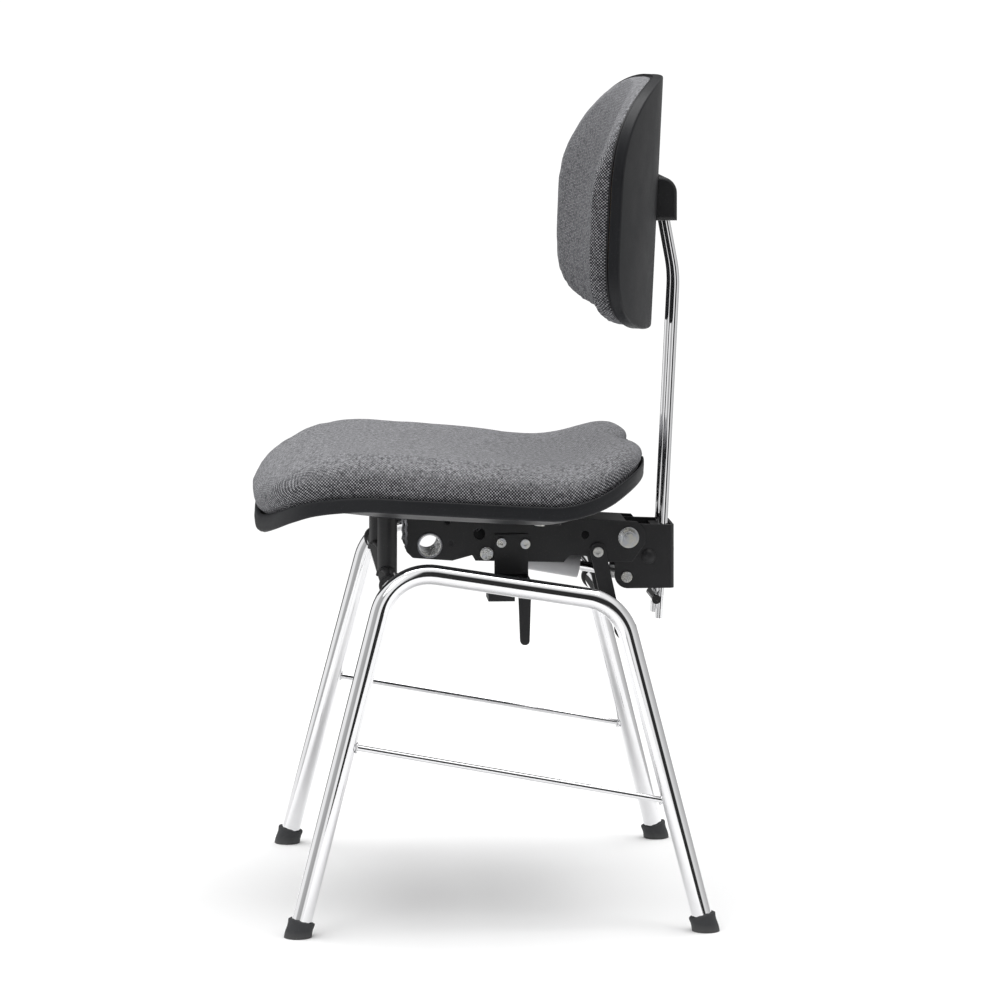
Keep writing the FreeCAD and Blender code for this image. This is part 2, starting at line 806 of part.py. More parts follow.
def rod_y(height):
    """Where the straight stretch of the back rods is along Y, at a height."""
    return ROD_FOOT[0] + (ROD_BEND[0] - ROD_FOOT[0]) * (height - ROD_FOOT[1]) / (ROD_BEND[1] - ROD_FOOT[1])


CARRIER_REAR = 212.0
CARRIER_TOP = 378.2
CARRIER_BOTTOM = 311.0
carrier = new_body()
cheek = sketch_on(carrier, "YZ_Plane")
outline(cheek, [
    (149.8, CARRIER_TOP),
    (165.0, CARRIER_TOP),
    (CARRIER_REAR, 376.4),
    (CARRIER_REAR, CARRIER_BOTTOM),
    (149.8, CARRIER_BOTTOM),
])
pad(carrier, cheek, "2 * sizes.carrier_half_width")
fillet(carrier, 13.9, along(X_AXIS, (0, 149.8, CARRIER_TOP), (0, 149.8, CARRIER_BOTTOM)))
carrier_half = size("carrier_half_width")
rear_corners = [(s * carrier_half, CARRIER_REAR, 0) for s in (-1, 1)]
fillet(carrier, 5.0, along(Z_AXIS, *rear_corners))
hollow = sketch_on(carrier, "YZ_Plane")
outline(hollow, [
    (140.0, 390.0),
    (CARRIER_REAR - 2.5, 390.0),
    (CARRIER_REAR - 2.5, 300.0),
    (140.0, 300.0),
])
pocket_through(carrier, hollow, "2 * (sizes.carrier_half_width - sizes.carrier_gauge)")
holes = sketch_on(carrier, "YZ_Plane")
circle(holes, PIVOT, size("bush_radius") + 0.05)
circle(holes, SPRING_REAR, "small_bolt_radius")
CAP_AT = (184.9, 344.1)
circle(holes, CAP_AT, 4.0)
pocket_through(carrier, holes)
WEB_SCREW_Z = 347.7
web_hole = cylinder(3.0, (0, 200, WEB_SCREW_Z), (0, 220, WEB_SCREW_Z))
piece(cut(carrier, web_hole), "backrest_carrier")

rear_bolt_head = fuse(
    cylinder("sizes.small_bolt_radius", (-carrier_half, *SPRING_REAR), (carrier_half, *SPRING_REAR)),
    cylinder(5.6, (carrier_half, *SPRING_REAR), (carrier_half + 2.6, *SPRING_REAR)),
    cylinder(5.6, (-carrier_half - 2.6, *SPRING_REAR), (-carrier_half, *SPRING_REAR)),
)
piece(rear_bolt_head, "spring_rear_bolt")

rod_path = [Vec(0, *ROD_FOOT), Vec(0, *ROD_BEND), Vec(0, *ROD_TOP)]


def rod_solid(radius, x):
    """A round rod along the back rods' middle line, bent once near its top."""
    flat = [Vec(p.y, p.z, 0) for p in rod_path]
    wire = Part.Wire([run.toShape() for run in rounded(flat, 120.0)])
    turn = FreeCAD.Placement(Vec(x, 0, 0), FreeCAD.Rotation(Vec(0, 1, 0), Vec(0, 0, 1), X_AXIS, "ZXY"))
    wire.Placement = turn
    start = rod_path[0] + Vec(x, 0, 0)
    ahead = (rod_path[1] - rod_path[0]).normalize()
    ring = Part.Wire([Part.makeCircle(radius, start, ahead)])
    return wire.makePipeShell([ring], True, False)


guides = []
for low, high in ((313.0, 327.0), (358.5, 374.0)):
    block = box((-26.3, 190.0, low), (26.3, CARRIER_REAR - 2.6, high))
    bores = []
    for side in (-1, 1):
        start = (side * size("rod_x"), rod_y(low - 10), low - 10)
        end = (side * size("rod_x"), rod_y(high + 10), high + 10)
        bores.append(cylinder("sizes.rod_radius + 0.06", start, end))
    guides.append(cut(block, *bores))
piece(guides[0], "lower_rod_guide")
piece(guides[1], "upper_rod_guide")

caps = []
for side in (-1, 1):
    stem = cylinder(4.0, (side * (carrier_half - 4.0), *CAP_AT), (side * carrier_half, *CAP_AT))
    brim = cylinder(7.9, (side * carrier_half, *CAP_AT), (side * (carrier_half + 1.2), *CAP_AT))
    ball = doc.addObject("Part::Sphere", "dome")
    ball.Radius = 11.0
    ball.Placement.Base = Vec(side * (carrier_half - 6.5), *CAP_AT)
    outside = cylinder(7.9, (side * (carrier_half + 0.2), *CAP_AT), (side * (carrier_half + 9), *CAP_AT))
    caps.append(fuse(stem, brim, common(ball, outside)))
piece(group(*caps), "carrier_side_caps")
piece(
    fuse(
        cylinder(3.0, (0, CARRIER_REAR - 8, WEB_SCREW_Z), (0, CARRIER_REAR, WEB_SCREW_Z)),
        cylinder(4.2, (0, CARRIER_REAR, WEB_SCREW_Z), (0, CARRIER_REAR + 2.4, WEB_SCREW_Z)),
    ),
    "height_clamp_screw",
)

# ---- back rods ----------------------------------------------------------------------------------

rod_solids = []
for side, label in ((1, "left_back_rod"), (-1, "right_back_rod")):
    rod_solids.append(piece(solid(rod_solid(size("rod_radius"), side * size("rod_x"))), label))

STOP_AT = (193.6, 298.8)
piece(cut(cylinder(4.8, (-27.0, *STOP_AT), (27.0, *STOP_AT)), *rod_solids), "rod_stop_bar")

HINGE = (size("hinge_y"), size("hinge_z"))
hinge_block = new_body()
side_view = sketch_on(hinge_block, "YZ_Plane")
outline(side_view, [(196.9, 699.0), (208.4, 699.0), (208.4, 719.0), (196.9, 719.0)])
pad(hinge_block, side_view, 72.0)
fillet(hinge_block, 5.0, along(X_AXIS, (0, 196.9, 719.0), (0, 208.4, 719.0)))
bore = sketch_on(hinge_block, "YZ_Plane")
circle(bore, HINGE, size("hinge_pin_radius") + 0.05)
pocket_through(hinge_block, bore)
piece(cut(hinge_block, *rod_solids), "rod_hinge_block")

# ---- backrest pad -------------------------------------------------------------------------------

back_place = FreeCAD.Placement(
    Vec(0, size("back_origin_y"), size("back_origin_z")), FreeCAD.Rotation(X_AXIS, -size("back_lean"))
)
CURVE = size("back_curve_radius")
RIM_DEPTH = 11.6
# the cushion's front is a flatter curve than the shell: this thick at its middle and at its sides
PAD_MIDDLE = 34.0
PAD_SIDE = 21.0


def super_curve(half_x, half_y, exponent_low, exponent_high, shape_point, count=56):
    """A closed smooth curve through points of a superellipse: |x/a|^n + |y/b|^n = 1, with one
    exponent for its lower half and one for its upper half."""
    spots = []
    for i in range(count):
        turn = 2 * math.pi * i / count
        c, s = math.cos(turn), math.sin(turn)
        power = 2 / (exponent_high if s >= 0 else exponent_low)
        x = half_x * math.copysign(abs(c) ** power, c)
        y = half_y * math.copysign(abs(s) ** power, s)
        spots.append(shape_point(x, y))
    curve = Part.BSplineCurve()
    curve.interpolate(Points=spots, PeriodicFlag=True)
    return Part.Face(Part.Wire([curve.toShape()]))


def back_prism(inset):
    """The backrest's front outline, inset all round, carried through its depth."""
    face = super_curve(
        size("back_half_width") - inset, size("back_half_height") - inset, 5.0, 2.9,
        lambda x, z: Vec(x, -170, size("back_middle_z") + z))
    return face.extrude(Vec(0, 220, 0))


def back_band(inner, outer):
    """What lies between two upright cylinders about the backrest's centre of curvature."""
    low = Vec(0, -CURVE, -140)
    ring = Part.makeCylinder(outer, 320, low)
    return ring.cut(Part.makeCylinder(inner, 320, low)) if inner > 0 else ring


wall = size("shell_wall")
outer_band = back_band(CURVE - RIM_DEPTH, CURVE)
shell = back_prism(0).common(outer_band).cut(back_prism(wall).common(back_band(0, CURVE - wall)))
piece(solid(shell, back_place), "backrest_shell")
board = back_prism(wall + 0.3).common(back_band(CURVE - RIM_DEPTH + 0.4, CURVE - wall - 0.2))
piece(solid(board, back_place), "backrest_board")
side_x = size("back_half_width")
front_middle = -RIM_DEPTH - PAD_MIDDLE
front_side = -CURVE + math.sqrt((CURVE - RIM_DEPTH) ** 2 - side_x ** 2) - PAD_SIDE
sagitta = front_middle - front_side
front_radius = (side_x ** 2 + sagitta ** 2) / (2 * sagitta)
ahead = Part.makeCylinder(front_radius, 320, Vec(0, front_middle - front_radius, -140))
cushion = back_prism(0.5).common(back_band(0, CURVE - RIM_DEPTH - 0.2)).cut(ahead)
piece(solid(cushion, back_place), "backrest_pad")

housing = new_body()
side_view = sketch_on(housing, "YZ_Plane")
HOUSING_REAR = 213.6
HOUSING_HALF = 44.0
outline(side_view, [(185.0, 693.0), (HOUSING_REAR, 693.0), (HOUSING_REAR, 738.5), (185.0, 738.5)])
pad(housing, side_view, 2 * HOUSING_HALF)
fillet(housing, 17.0, along(X_AXIS, (0, HOUSING_REAR, 738.5)))
fillet(housing, 4.5, lambda e: e.CenterOfMass.y > 199 and abs(abs(e.CenterOfMass.x) - HOUSING_HALF) < 0.01)
hollow = sketch_on(housing, "YZ_Plane")
outline(hollow, [(180.0, 690.0), (211.8, 690.0), (211.8, 722.0), (204.0, 733.0), (180.0, 733.0)])
pocket_through(housing, hollow, 2 * HOUSING_HALF - 12)
pin_hole = sketch_on(housing, "YZ_Plane")
circle(pin_hole, HINGE, "hinge_pin_radius")
pocket_through(housing, pin_hole, 2 * HOUSING_HALF - 4)
shell_region = solid(back_band(0, CURVE), back_place)
piece(cut(housing, shell_region), "hinge_housing")
piece(
    cylinder("sizes.hinge_pin_radius", (2 - HOUSING_HALF, *HINGE), (HOUSING_HALF - 2, *HINGE)),
    "hinge_pin",
)

# ---- seat ---------------------------------------------------------------------------------------

NOTCH_DEPTH = 21.0
NOTCH_HALF = 80.0


def seat_prism(inset, low, high, ahead=0.0):
    """The seat's plan outline, inset all round, with a hollow at the rear for the back rods, and
    its front moved ahead."""
    def spot(x, y):
        if y < 0:
            y *= 1 + ahead / size("seat_half_depth")
        if y > 0 and abs(x) < NOTCH_HALF:
            y -= NOTCH_DEPTH * math.cos(math.pi * x / (2 * NOTCH_HALF)) ** 2
        return Vec(x, y + SEAT_CENTRE, low)
    face = super_curve(size("seat_half_width") - inset, size("seat_half_depth") - inset, 3.4, 4.0, spot)
    return face.extrude(Vec(0, 0, high - low))


def side_slab(points, half_width=230.0):
    """A closed side view in the seat's own y and z, carried across the seat."""
    loop = [Vec(-half_width, y, z) for y, z in points]
    return Part.Face(Part.makePolygon(loop + loop[:1])).extrude(Vec(2 * half_width, 0, 0))


SEAT_CENTRE = size("seat_middle_y")
FRONT = SEAT_CENTRE - size("seat_half_depth")
REAR = SEAT_CENTRE + size("seat_half_depth")
SHELL_FLOOR = size("bridge_thickness") + 0.2
FLOOR_LINE = [
    (FRONT - 2, -33.0),
    (FRONT + 30, -10.0),
    (FRONT + 58, SHELL_FLOOR),
    (REAR - 97, SHELL_FLOOR),
    (REAR - 42, 18.0),
    (REAR + 10, 52.0),
]
RIM_LINE = [
    (FRONT - 2, -14.5),
    (FRONT + 20, 3.2),
    (FRONT + 43, 16.3),
    (FRONT + 59, 22.5),
    (FRONT + 89, 28.5),
    (FRONT + 111, 31.0),
    (REAR - 90, 31.0),
    (REAR - 54, 42.0),
    (REAR - 16, 66.0),
    (REAR + 10, 79.0),
]
# the lower edge of the shell's outer band, which follows the rim
EDGE_LINE = [
    (FRONT - 2, -33.0),
    (FRONT + 20, -14.3),
    (FRONT + 43, 0.3),
    (FRONT + 59, 7.4),
    (FRONT + 89, 13.8),
    (FRONT + 111, 16.5),
    (REAR - 90, 16.5),
    (REAR - 54, 26.0),
    (REAR - 16, 49.5),
    (REAR + 10, 63.0),
]
# the cushion bulges ahead of the shell's front
BULGE = 7.0
TOP_LINE = [
    (FRONT - 9, 16.0),
    (FRONT - 3, 30.0),
    (FRONT + 16, 42.0),
    (FRONT + 35, 50.5),
    (FRONT + 54, 58.5),
    (FRONT + 80, 66.0),
    (FRONT + 112, 69.0),
    (FRONT + 161, 69.0),
    (REAR - 183, 67.5),
    (REAR - 132, 65.5),
    (REAR - 93, 64.0),
    (REAR - 67, 67.5),
    (REAR - 41, 79.0),
    (REAR - 16, 87.0),
    (REAR - 0, 88.0),
    (REAR + 10, 84.0),
]
BOARD_LOW = SHELL_FLOOR + wall + 0.1
BOARD_HIGH = BOARD_LOW + size("board_thickness")
BOARD_FRONT = FRONT + 70
BOARD_REAR = REAR - 98
BOARD_HALF = 150.0
SCREW_GRIP = 6.0
screw_spots = [
    (side * size("seat_screw_x"), y) for side in (-1, 1) for y in (FRONT_SCREW_Y, REAR_SCREW_Y)
]


def without_screws(shape):
    """A seat layer with the four screws' holes."""
    for x, y in screw_spots:
        shape = shape.cut(Part.makeCylinder(size("screw_radius"), BOARD_LOW + SCREW_GRIP, Vec(x, y, 0)))
    return shape


# the shell: a low band right round, and a deeper pan within it
PAN_INSET = 45.0
over = [(REAR + 10, 130.0), (FRONT - 2, 130.0)]
band = seat_prism(0, -60, 120).common(side_slab(EDGE_LINE + RIM_LINE[::-1]))
pan = seat_prism(PAN_INSET, -60, 120).common(side_slab(FLOOR_LINE + RIM_LINE[::-1]))
edge_raised = [(y, z + wall) for y, z in EDGE_LINE]
floor_raised = [(y, z + wall) for y, z in FLOOR_LINE]
inside_band = seat_prism(wall, -60, 120).common(side_slab(edge_raised + over))
inside_pan = seat_prism(PAN_INSET + wall, -60, 120).common(side_slab(floor_raised + over))
shell = band.fuse(pan).cut(inside_band).cut(inside_pan)
piece(solid(without_screws(shell), seat_place), "seat_shell")

board_size = (2 * BOARD_HALF, BOARD_REAR - BOARD_FRONT, size("board_thickness"))
board = Part.makeBox(*board_size, Vec(-BOARD_HALF, BOARD_FRONT, BOARD_LOW))
board = board.makeFillet(20, [e for e in board.Edges if abs(e.tangentAt(e.FirstParameter).z) > 0.9])
board = board.common(seat_prism(PAN_INSET + wall + 0.3, -60, 130))
piece(solid(without_screws(board), seat_place), "seat_board")

# the cushion: a crown above the shell's rim, and stuffing inside the shell down to the board
lifted = [(FRONT - 9, 6.0)] + [(y, z + 0.4) for y, z in RIM_LINE]
crown = seat_prism(0.5, -60, 130, ahead=BULGE).common(side_slab(lifted + TOP_LINE[::-1]))
stuffing = seat_prism(PAN_INSET + wall + 0.5, -60, 130).common(side_slab([
    (FRONT + 66, 25.4),
    (FRONT + 66, BOARD_HIGH + 0.2),
    (REAR - 93, BOARD_HIGH + 0.2),
    (REAR - 93, 31.4),
    (FRONT + 118, 31.4),
]))
piece(solid(crown.fuse(stuffing).removeSplitter(), seat_place), "seat_pad")

screws = []
for x, y in screw_spots:
    screw = cylinder("sizes.screw_radius", (x, y, -0.4), (x, y, BOARD_LOW + SCREW_GRIP))
    head = cylinder(5.5, (x, y, -3.4), (x, y, -0.05))
    screw.Placement = seat_place.multiply(screw.Placement)
    head.Placement = seat_place.multiply(head.Placement)
    screws.append(fuse(screw, head))
piece(group(*screws), "seat_screws")

# ---- check and write ----------------------------------------------------------------------------

doc.recompute()
failed = [obj.Label for obj in doc.Objects if {"Invalid", "Error"} & set(obj.State)]
assert not failed, "failed objects: %s" % failed
os.makedirs("parts", exist_ok=True)
labels = [obj.Label for obj in pieces]
assert len(set(labels)) == len(labels), "two pieces share a name"
whole = FreeCAD.BoundBox()
for obj in pieces:
    shape = obj.Shape
    assert not shape.isNull() and shape.isValid(), "%s has no valid shape" % obj.Label
    assert shape.Solids, "%s holds no solid" % obj.Label
    whole.add(shape.optimalBoundingBox(False))
    shape.exportStep("parts/%s.step" % obj.Label)
print("%d pieces" % len(pieces))
for axis in "XYZ":
    low, high = getattr(whole, axis + "Min"), getattr(whole, axis + "Max")
    print("%s %.1f..%.1f" % (axis, low, high))
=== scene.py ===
import math

import bpy
import numpy as np
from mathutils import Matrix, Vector


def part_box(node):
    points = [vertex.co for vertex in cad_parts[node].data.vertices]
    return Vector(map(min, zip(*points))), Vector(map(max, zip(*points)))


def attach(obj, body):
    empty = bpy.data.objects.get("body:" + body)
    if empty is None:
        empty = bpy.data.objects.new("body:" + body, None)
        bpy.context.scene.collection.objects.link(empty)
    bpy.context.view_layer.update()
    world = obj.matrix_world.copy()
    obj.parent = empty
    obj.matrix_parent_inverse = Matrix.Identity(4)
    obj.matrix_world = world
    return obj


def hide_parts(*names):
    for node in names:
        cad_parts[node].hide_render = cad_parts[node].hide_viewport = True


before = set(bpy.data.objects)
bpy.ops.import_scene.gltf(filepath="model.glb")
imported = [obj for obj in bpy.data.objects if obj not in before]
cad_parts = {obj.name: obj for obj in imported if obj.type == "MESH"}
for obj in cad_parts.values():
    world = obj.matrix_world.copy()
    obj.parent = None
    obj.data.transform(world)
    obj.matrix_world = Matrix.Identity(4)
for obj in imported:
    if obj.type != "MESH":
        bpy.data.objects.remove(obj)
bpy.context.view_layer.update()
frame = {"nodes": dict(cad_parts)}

bl_info = {
    "name": "Musician's chair finishes",
    "version": (1, 0, 0),
    "blender": (4, 5, 0),
    "location": "View3D > Sidebar > Chair",
    "description": "Upholstery, moulded shells, rubber feet, plated tube and painted steel "
                   "for a tilting chair",
    "category": "Object",
}

MM = 0.001

# Where the seat and the backrest stand: an origin and a lean about X, from which their forms are drawn.
SEAT_ORIGIN = (0.0, -0.067, 0.3953)
SEAT_LEAN = -3.5
BACK_ORIGIN = (0.0, 0.194, 0.690)
BACK_LEAN = -2.8

# Side views of the seat, as distance along the seat and height, in millimetres from the seat's origin.
FRONT = -159.0
REAR = 239.0
RIM_LINE = (
    (FRONT - 2, -14.5), (FRONT + 20, 3.2), (FRONT + 43, 16.3), (FRONT + 59, 22.5), (FRONT + 89, 28.5),
    (FRONT + 111, 31.0), (REAR - 90, 31.0), (REAR - 54, 42.0), (REAR - 16, 66.0), (REAR + 10, 79.0),
)
FLOOR_LINE = (
    (FRONT - 2, -33.0), (FRONT + 30, -10.0), (FRONT + 58, 5.2), (REAR - 97, 5.2), (REAR - 42, 18.0),
    (REAR + 10, 52.0),
)
STUFFING_LINE = (
    (FRONT, 47.0), (FRONT + 25, 42.0), (FRONT + 43, 39.0), (FRONT + 93, 37.0), (FRONT + 158, 36.5),
    (FRONT + 215, 35.5), (REAR - 132, 34.0), (REAR - 93, 32.5), (REAR - 67, 31.0), (REAR - 42, 31.0),
    (REAR - 17, 27.5), (REAR + 8, 17.0),
)
# How far the shell and the cushion stand ahead of the plan outline at the front.
SHELL_FRONT = -4.5
BULGE = 6.5
BOARD_TOP = 18.4
# Half the width of the rear hollow, the insets at which the cushion's side wall and the shell's flank
# begin, and the round of the shell's lower edge.
NOTCH_HALF = 80.0
SIDE_INSET = 1.8
PAN_INSET = 62.0
LIP_ROUND = 2.2

# The backrest: the radius of its curve seen from above, the height of its middle over its origin, how
# deep its shell is, and the outline's exponents in its lower and upper half.
BACK_CURVE = 373.0
BACK_MIDDLE = 23.7
RIM_DEPTH = 11.6
CLOTH_REAR = RIM_DEPTH + 0.4
LOWER_POWER = 5.0
UPPER_POWER = 2.9
# The front of the cushion: the depth at which its side band starts to round, the inset at the end of
# that round, the swell inside the seam and where the plain front begins.
SEAM_DEPTH = 15.5
SEAM_INSET = 5.4
SEAM_SWELL = 1.6
FRONT_INSET = 36.0


class SeatSizes(bpy.types.PropertyGroup):
    """Sizes of the seat's cushion and shell."""

    half_width: bpy.props.FloatProperty(
        name="Half width", description="Half the seat's width (mm)", default=207.0, min=150, max=260)
    half_depth: bpy.props.FloatProperty(
        name="Half depth", description="Half the seat's depth (mm)", default=199.0, min=150, max=260)
    notch: bpy.props.FloatProperty(
        name="Rear hollow", description="Depth of the hollow for the back rods (mm)", default=14.0,
        max=40)
    roundness: bpy.props.FloatProperty(
        name="Edge roundness", description="Width of the cushion's rounded edge (mm)", default=44.0)
    wall: bpy.props.FloatProperty(
        name="Shell wall", description="Thickness of the moulded shell (mm)", default=3.0)
    band: bpy.props.FloatProperty(
        name="Shell band", description="Height of the shell's outer band (mm)", default=14.5)


class BackSizes(bpy.types.PropertyGroup):
    """Sizes of the backrest's cushion and shell."""

    half_width: bpy.props.FloatProperty(
        name="Half width", description="Half the backrest's width (mm)", default=195.0, min=120, max=260)
    half_height: bpy.props.FloatProperty(
        name="Half height", description="Half the backrest's height (mm)", default=129.3, min=80,
        max=200)
    middle: bpy.props.FloatProperty(
        name="Cushion at its middle", description="Thickness of the cushion at its middle (mm)",
        default=31.5)
    side: bpy.props.FloatProperty(
        name="Cushion at its sides", description="Depth of the cushion's side band (mm)", default=18.5)


class Finishes(bpy.types.PropertyGroup):
    """Colours of the chair's finishes."""

    yarn_dark: bpy.props.FloatVectorProperty(
        name="Dark yarn", description="Ground colour of the weave", subtype="COLOR", size=3,
        default=(0.009, 0.009, 0.011), min=0, max=1)
    yarn_light: bpy.props.FloatVectorProperty(
        name="Light yarn", description="Fleck colour of the weave", subtype="COLOR", size=3,
        default=(0.46, 0.46, 0.48), min=0, max=1)
    moulded: bpy.props.FloatVectorProperty(
        name="Moulded shell", description="Colour of the moulded shells", subtype="COLOR", size=3,
        default=(0.007, 0.0075, 0.009), min=0, max=1)
    painted: bpy.props.FloatVectorProperty(
        name="Painted steel", description="Colour of the powder coat", subtype="COLOR", size=3,
        default=(0.006, 0.006, 0.007), min=0, max=1)
    thread_pitch: bpy.props.FloatProperty(
        name="Thread pitch", description="Distance between threads of the weave (mm)", default=1.55,
        min=0.4, max=6)


# ---- forms -------------------------------------------------------------------------------------

def superellipse(half_x, half_y, low, high, count):
    """Closed outline |x/a|^n + |y/b|^n = 1, with one exponent below the middle and one above it,
    at even spacing along its length. Starts at (a, 0) and runs anticlockwise."""
    turn = np.linspace(0, 2 * np.pi, 6001)
    c, s = np.cos(turn), np.sin(turn)
    power = np.where(s >= 0, 2 / high, 2 / low)
    x = half_x * np.sign(c) * np.abs(c) ** power
    y = half_y * np.sign(s) * np.abs(s) ** power
    gone = np.concatenate([[0], np.cumsum(np.hypot(np.diff(x), np.diff(y)))])
    even = np.linspace(0, gone[-1], count, endpoint=False)
    return np.stack([np.interp(even, gone, x), np.interp(even, gone, y)], axis=1)


def soft_line(corners, at, blur=14.0):
    """Height of a line through corners, averaged over a window, so its corners turn smoothly."""
    places, heights = np.array(corners).T
    offsets = np.linspace(-blur, blur, 9)
    return np.mean([np.interp(at + offset, places, heights) for offset in offsets], axis=0)


def turned(points, degrees, origin):
    """Millimetres in a leaning frame to metres in the chair's: y' = y cos a - z sin a and
    z' = y sin a + z cos a, then moved by the origin."""
    a = math.radians(degrees)
    x, y, z = np.moveaxis(np.asarray(points, float) * MM, -1, 0)
    place = np.stack([x, y * math.cos(a) - z * math.sin(a), y * math.sin(a) + z * math.cos(a)], -1)
    return place + np.array(origin)


def unturned(points, degrees, origin):
    """The other way: metres in the chair's frame to millimetres in the leaning one."""
    a = math.radians(-degrees)
    x, y, z = np.moveaxis(np.asarray(points, float) - np.array(origin), -1, 0)
    place = np.stack([x, y * math.cos(a) - z * math.sin(a), y * math.sin(a) + z * math.cos(a)], -1)
    return place / MM


def ring_faces(rows, count, round_rows=False):
    """Quads between neighbouring rings of a grid. Rings close on themselves; the last row meets the
    first one when round_rows is set."""
    last = rows if round_rows else rows - 1
    i, j = np.meshgrid(np.arange(last), np.arange(count), indexing="ij")
    up, on = (i + 1) % rows, (j + 1) % count
    return np.stack([i * count + j, i * count + on, up * count + on, up * count + j], -1).reshape(-1, 4)


def volume_of(points, faces):
    """Signed volume: a sixth of the sum, over triangles, of corner . (corner x corner)."""
    total = 0.0
    for face in faces:
        block = points[np.asarray(face)]
        for k in range(1, block.shape[1] - 1):
            total += np.einsum("ij,ij->", block[:, 0], np.cross(block[:, k], block[:, k + 1])) / 6
    return total


def closed_mesh(name, parts):
    """One object from parts, each (grid of rings in metres, whether its rows close on themselves).
    An open grid gets a pole at the middle of its first and last ring. Faces are turned outwards."""
    all_points, all_faces, base = [], [], 0
    for grid, round_rows in parts:
        rows, count = grid.shape[:2]
        points = grid.reshape(-1, 3)
        blocks = [ring_faces(rows, count, round_rows)]
        if not round_rows:
            points = np.vstack([points, grid[0].mean(0), grid[-1].mean(0)])
            j = np.arange(count)
            on = (j + 1) % count
            low = np.full(count, rows * count)
            blocks.append(np.stack([low, on, j], 1))
            blocks.append(np.stack([low + 1, (rows - 1) * count + j, (rows - 1) * count + on], 1))
        if volume_of(points, blocks) < 0:
            blocks = [block[:, ::-1] for block in blocks]
        all_points.append(points)
        all_faces += [tuple(face) for block in blocks for face in (block + base).tolist()]
        base += len(points)
    mesh = bpy.data.meshes.new(name)
    mesh.from_pydata(np.vstack(all_points).tolist(), [], all_faces)
    mesh.validate()
    mesh.shade_smooth()
    obj = bpy.data.objects.new(name, mesh)
    bpy.context.scene.collection.objects.link(obj)
    return obj


def swept(path, radii, count=12):
    """A round section carried along a path of points: p + r (cos t * across + sin t * over), where
    across and over are square to the path's direction."""
    path = np.asarray(path, float)
    ahead = np.gradient(path, axis=0)
    ahead /= np.linalg.norm(ahead, axis=1, keepdims=True)
    up = np.array([0.13, 0.21, 0.97])
    across = np.cross(ahead, up)
    across /= np.linalg.norm(across, axis=1, keepdims=True)
    over = np.cross(ahead, across)
    t = np.linspace(0, 2 * np.pi, count, endpoint=False)
    radii = np.broadcast_to(radii, len(path))[:, None, None]
    ring = np.cos(t)[None, :, None] * across[:, None] + np.sin(t)[None, :, None] * over[:, None]
    return path[:, None] + radii * ring


def turned_profile(profile, centre, axis, count=48):
    """A profile of (distance along the axis, radius) turned about an axis through a centre."""
    axis = np.array(axis, float) / np.linalg.norm(axis)
    side = np.cross(axis, (0.31, 0.2, 0.93))
    side /= np.linalg.norm(side)
    over = np.cross(axis, side)
    t = np.linspace(0, 2 * np.pi, count, endpoint=False)
    along, radius = np.array(profile, float).T
    ring = np.cos(t)[:, None] * side + np.sin(t)[:, None] * over
    return np.array(centre) + along[:, None, None] * axis + radius[:, None, None] * ring


def points_of(obj):
    """The mesh's points as an array."""
    flat = np.empty(len(obj.data.vertices) * 3, np.float32)
    obj.data.vertices.foreach_get("co", flat)
    return flat.reshape(-1, 3).astype(float)


def set_points(obj, points):
    """Write an array back as the mesh's points."""
    obj.data.vertices.foreach_set("co", points.astype(np.float32).ravel())
    obj.data.update()


def apply_modifiers(obj):
    """Replace the object's mesh by its evaluated one."""
    evaluated = obj.evaluated_get(bpy.context.evaluated_depsgraph_get())
    mesh = bpy.data.meshes.new_from_object(evaluated)
    obj.modifiers.clear()
    old = obj.data
    obj.data = mesh
    bpy.data.meshes.remove(old)


PUFF_FRAMES = 20


def puffed(obj, held, voxel=0.0045, pressure=4.0, cap=0.005):
    """Stuffing: the form is remeshed to an even net and blown up by cloth pressure from inside, with
    no gravity. Points chosen by held stay put, and no point moves further than the cap."""
    remesh = obj.modifiers.new("net", "REMESH")
    remesh.mode = "VOXEL"
    remesh.voxel_size = voxel
    apply_modifiers(obj)
    start = points_of(obj)
    fixed = held(start)
    group = obj.vertex_groups.new(name="held")
    group.add(np.flatnonzero(fixed).tolist(), 1.0, "REPLACE")
    cloth = obj.modifiers.new("cloth", "CLOTH")
    settings = cloth.settings
    settings.quality = 5
    settings.mass = 0.3
    settings.use_pressure = True
    settings.uniform_pressure_force = pressure
    settings.tension_stiffness = 25
    settings.compression_stiffness = 25
    settings.bending_stiffness = 2.0
    settings.vertex_group_mass = "held"
    settings.effector_weights.gravity = 0.0
    cloth.point_cache.frame_start = 1
    cloth.point_cache.frame_end = PUFF_FRAMES
    scene = bpy.context.scene
    for step in range(1, PUFF_FRAMES + 1):
        scene.frame_set(step)
    apply_modifiers(obj)
    scene.frame_set(1)
    moved = points_of(obj) - start
    reach = np.linalg.norm(moved, axis=1, keepdims=True)
    set_points(obj, start + moved * np.minimum(1, cap / np.maximum(reach, 1e-9)))


def subdivided(obj, levels=1):
    """A finer mesh by subdivision, applied."""
    finer = obj.modifiers.new("finer", "SUBSURF")
    finer.levels = finer.render_levels = levels
    apply_modifiers(obj)
    obj.data.shade_smooth()


def smoothed(obj, times=3):
    """Uneven spots of the net evened out."""
    relax = obj.modifiers.new("relax", "SMOOTH")
    relax.factor = 0.5
    relax.iterations = times
    apply_modifiers(obj)


def pushed(obj, amount):
    """Every point moved along its own normal by an amount, in metres."""
    normals = np.empty(len(obj.data.vertices) * 3, np.float32)
    obj.data.vertices.foreach_get("normal", normals)
    set_points(obj, points_of(obj) + normals.reshape(-1, 3) * amount[:, None])


def keep_attribute(obj, name, values):
    """A vector kept at each point, which the weave reads."""
    attribute = obj.data.attributes.new(name, "FLOAT_VECTOR", "POINT")
    attribute.data.foreach_set("vector", values.astype(np.float32).ravel())


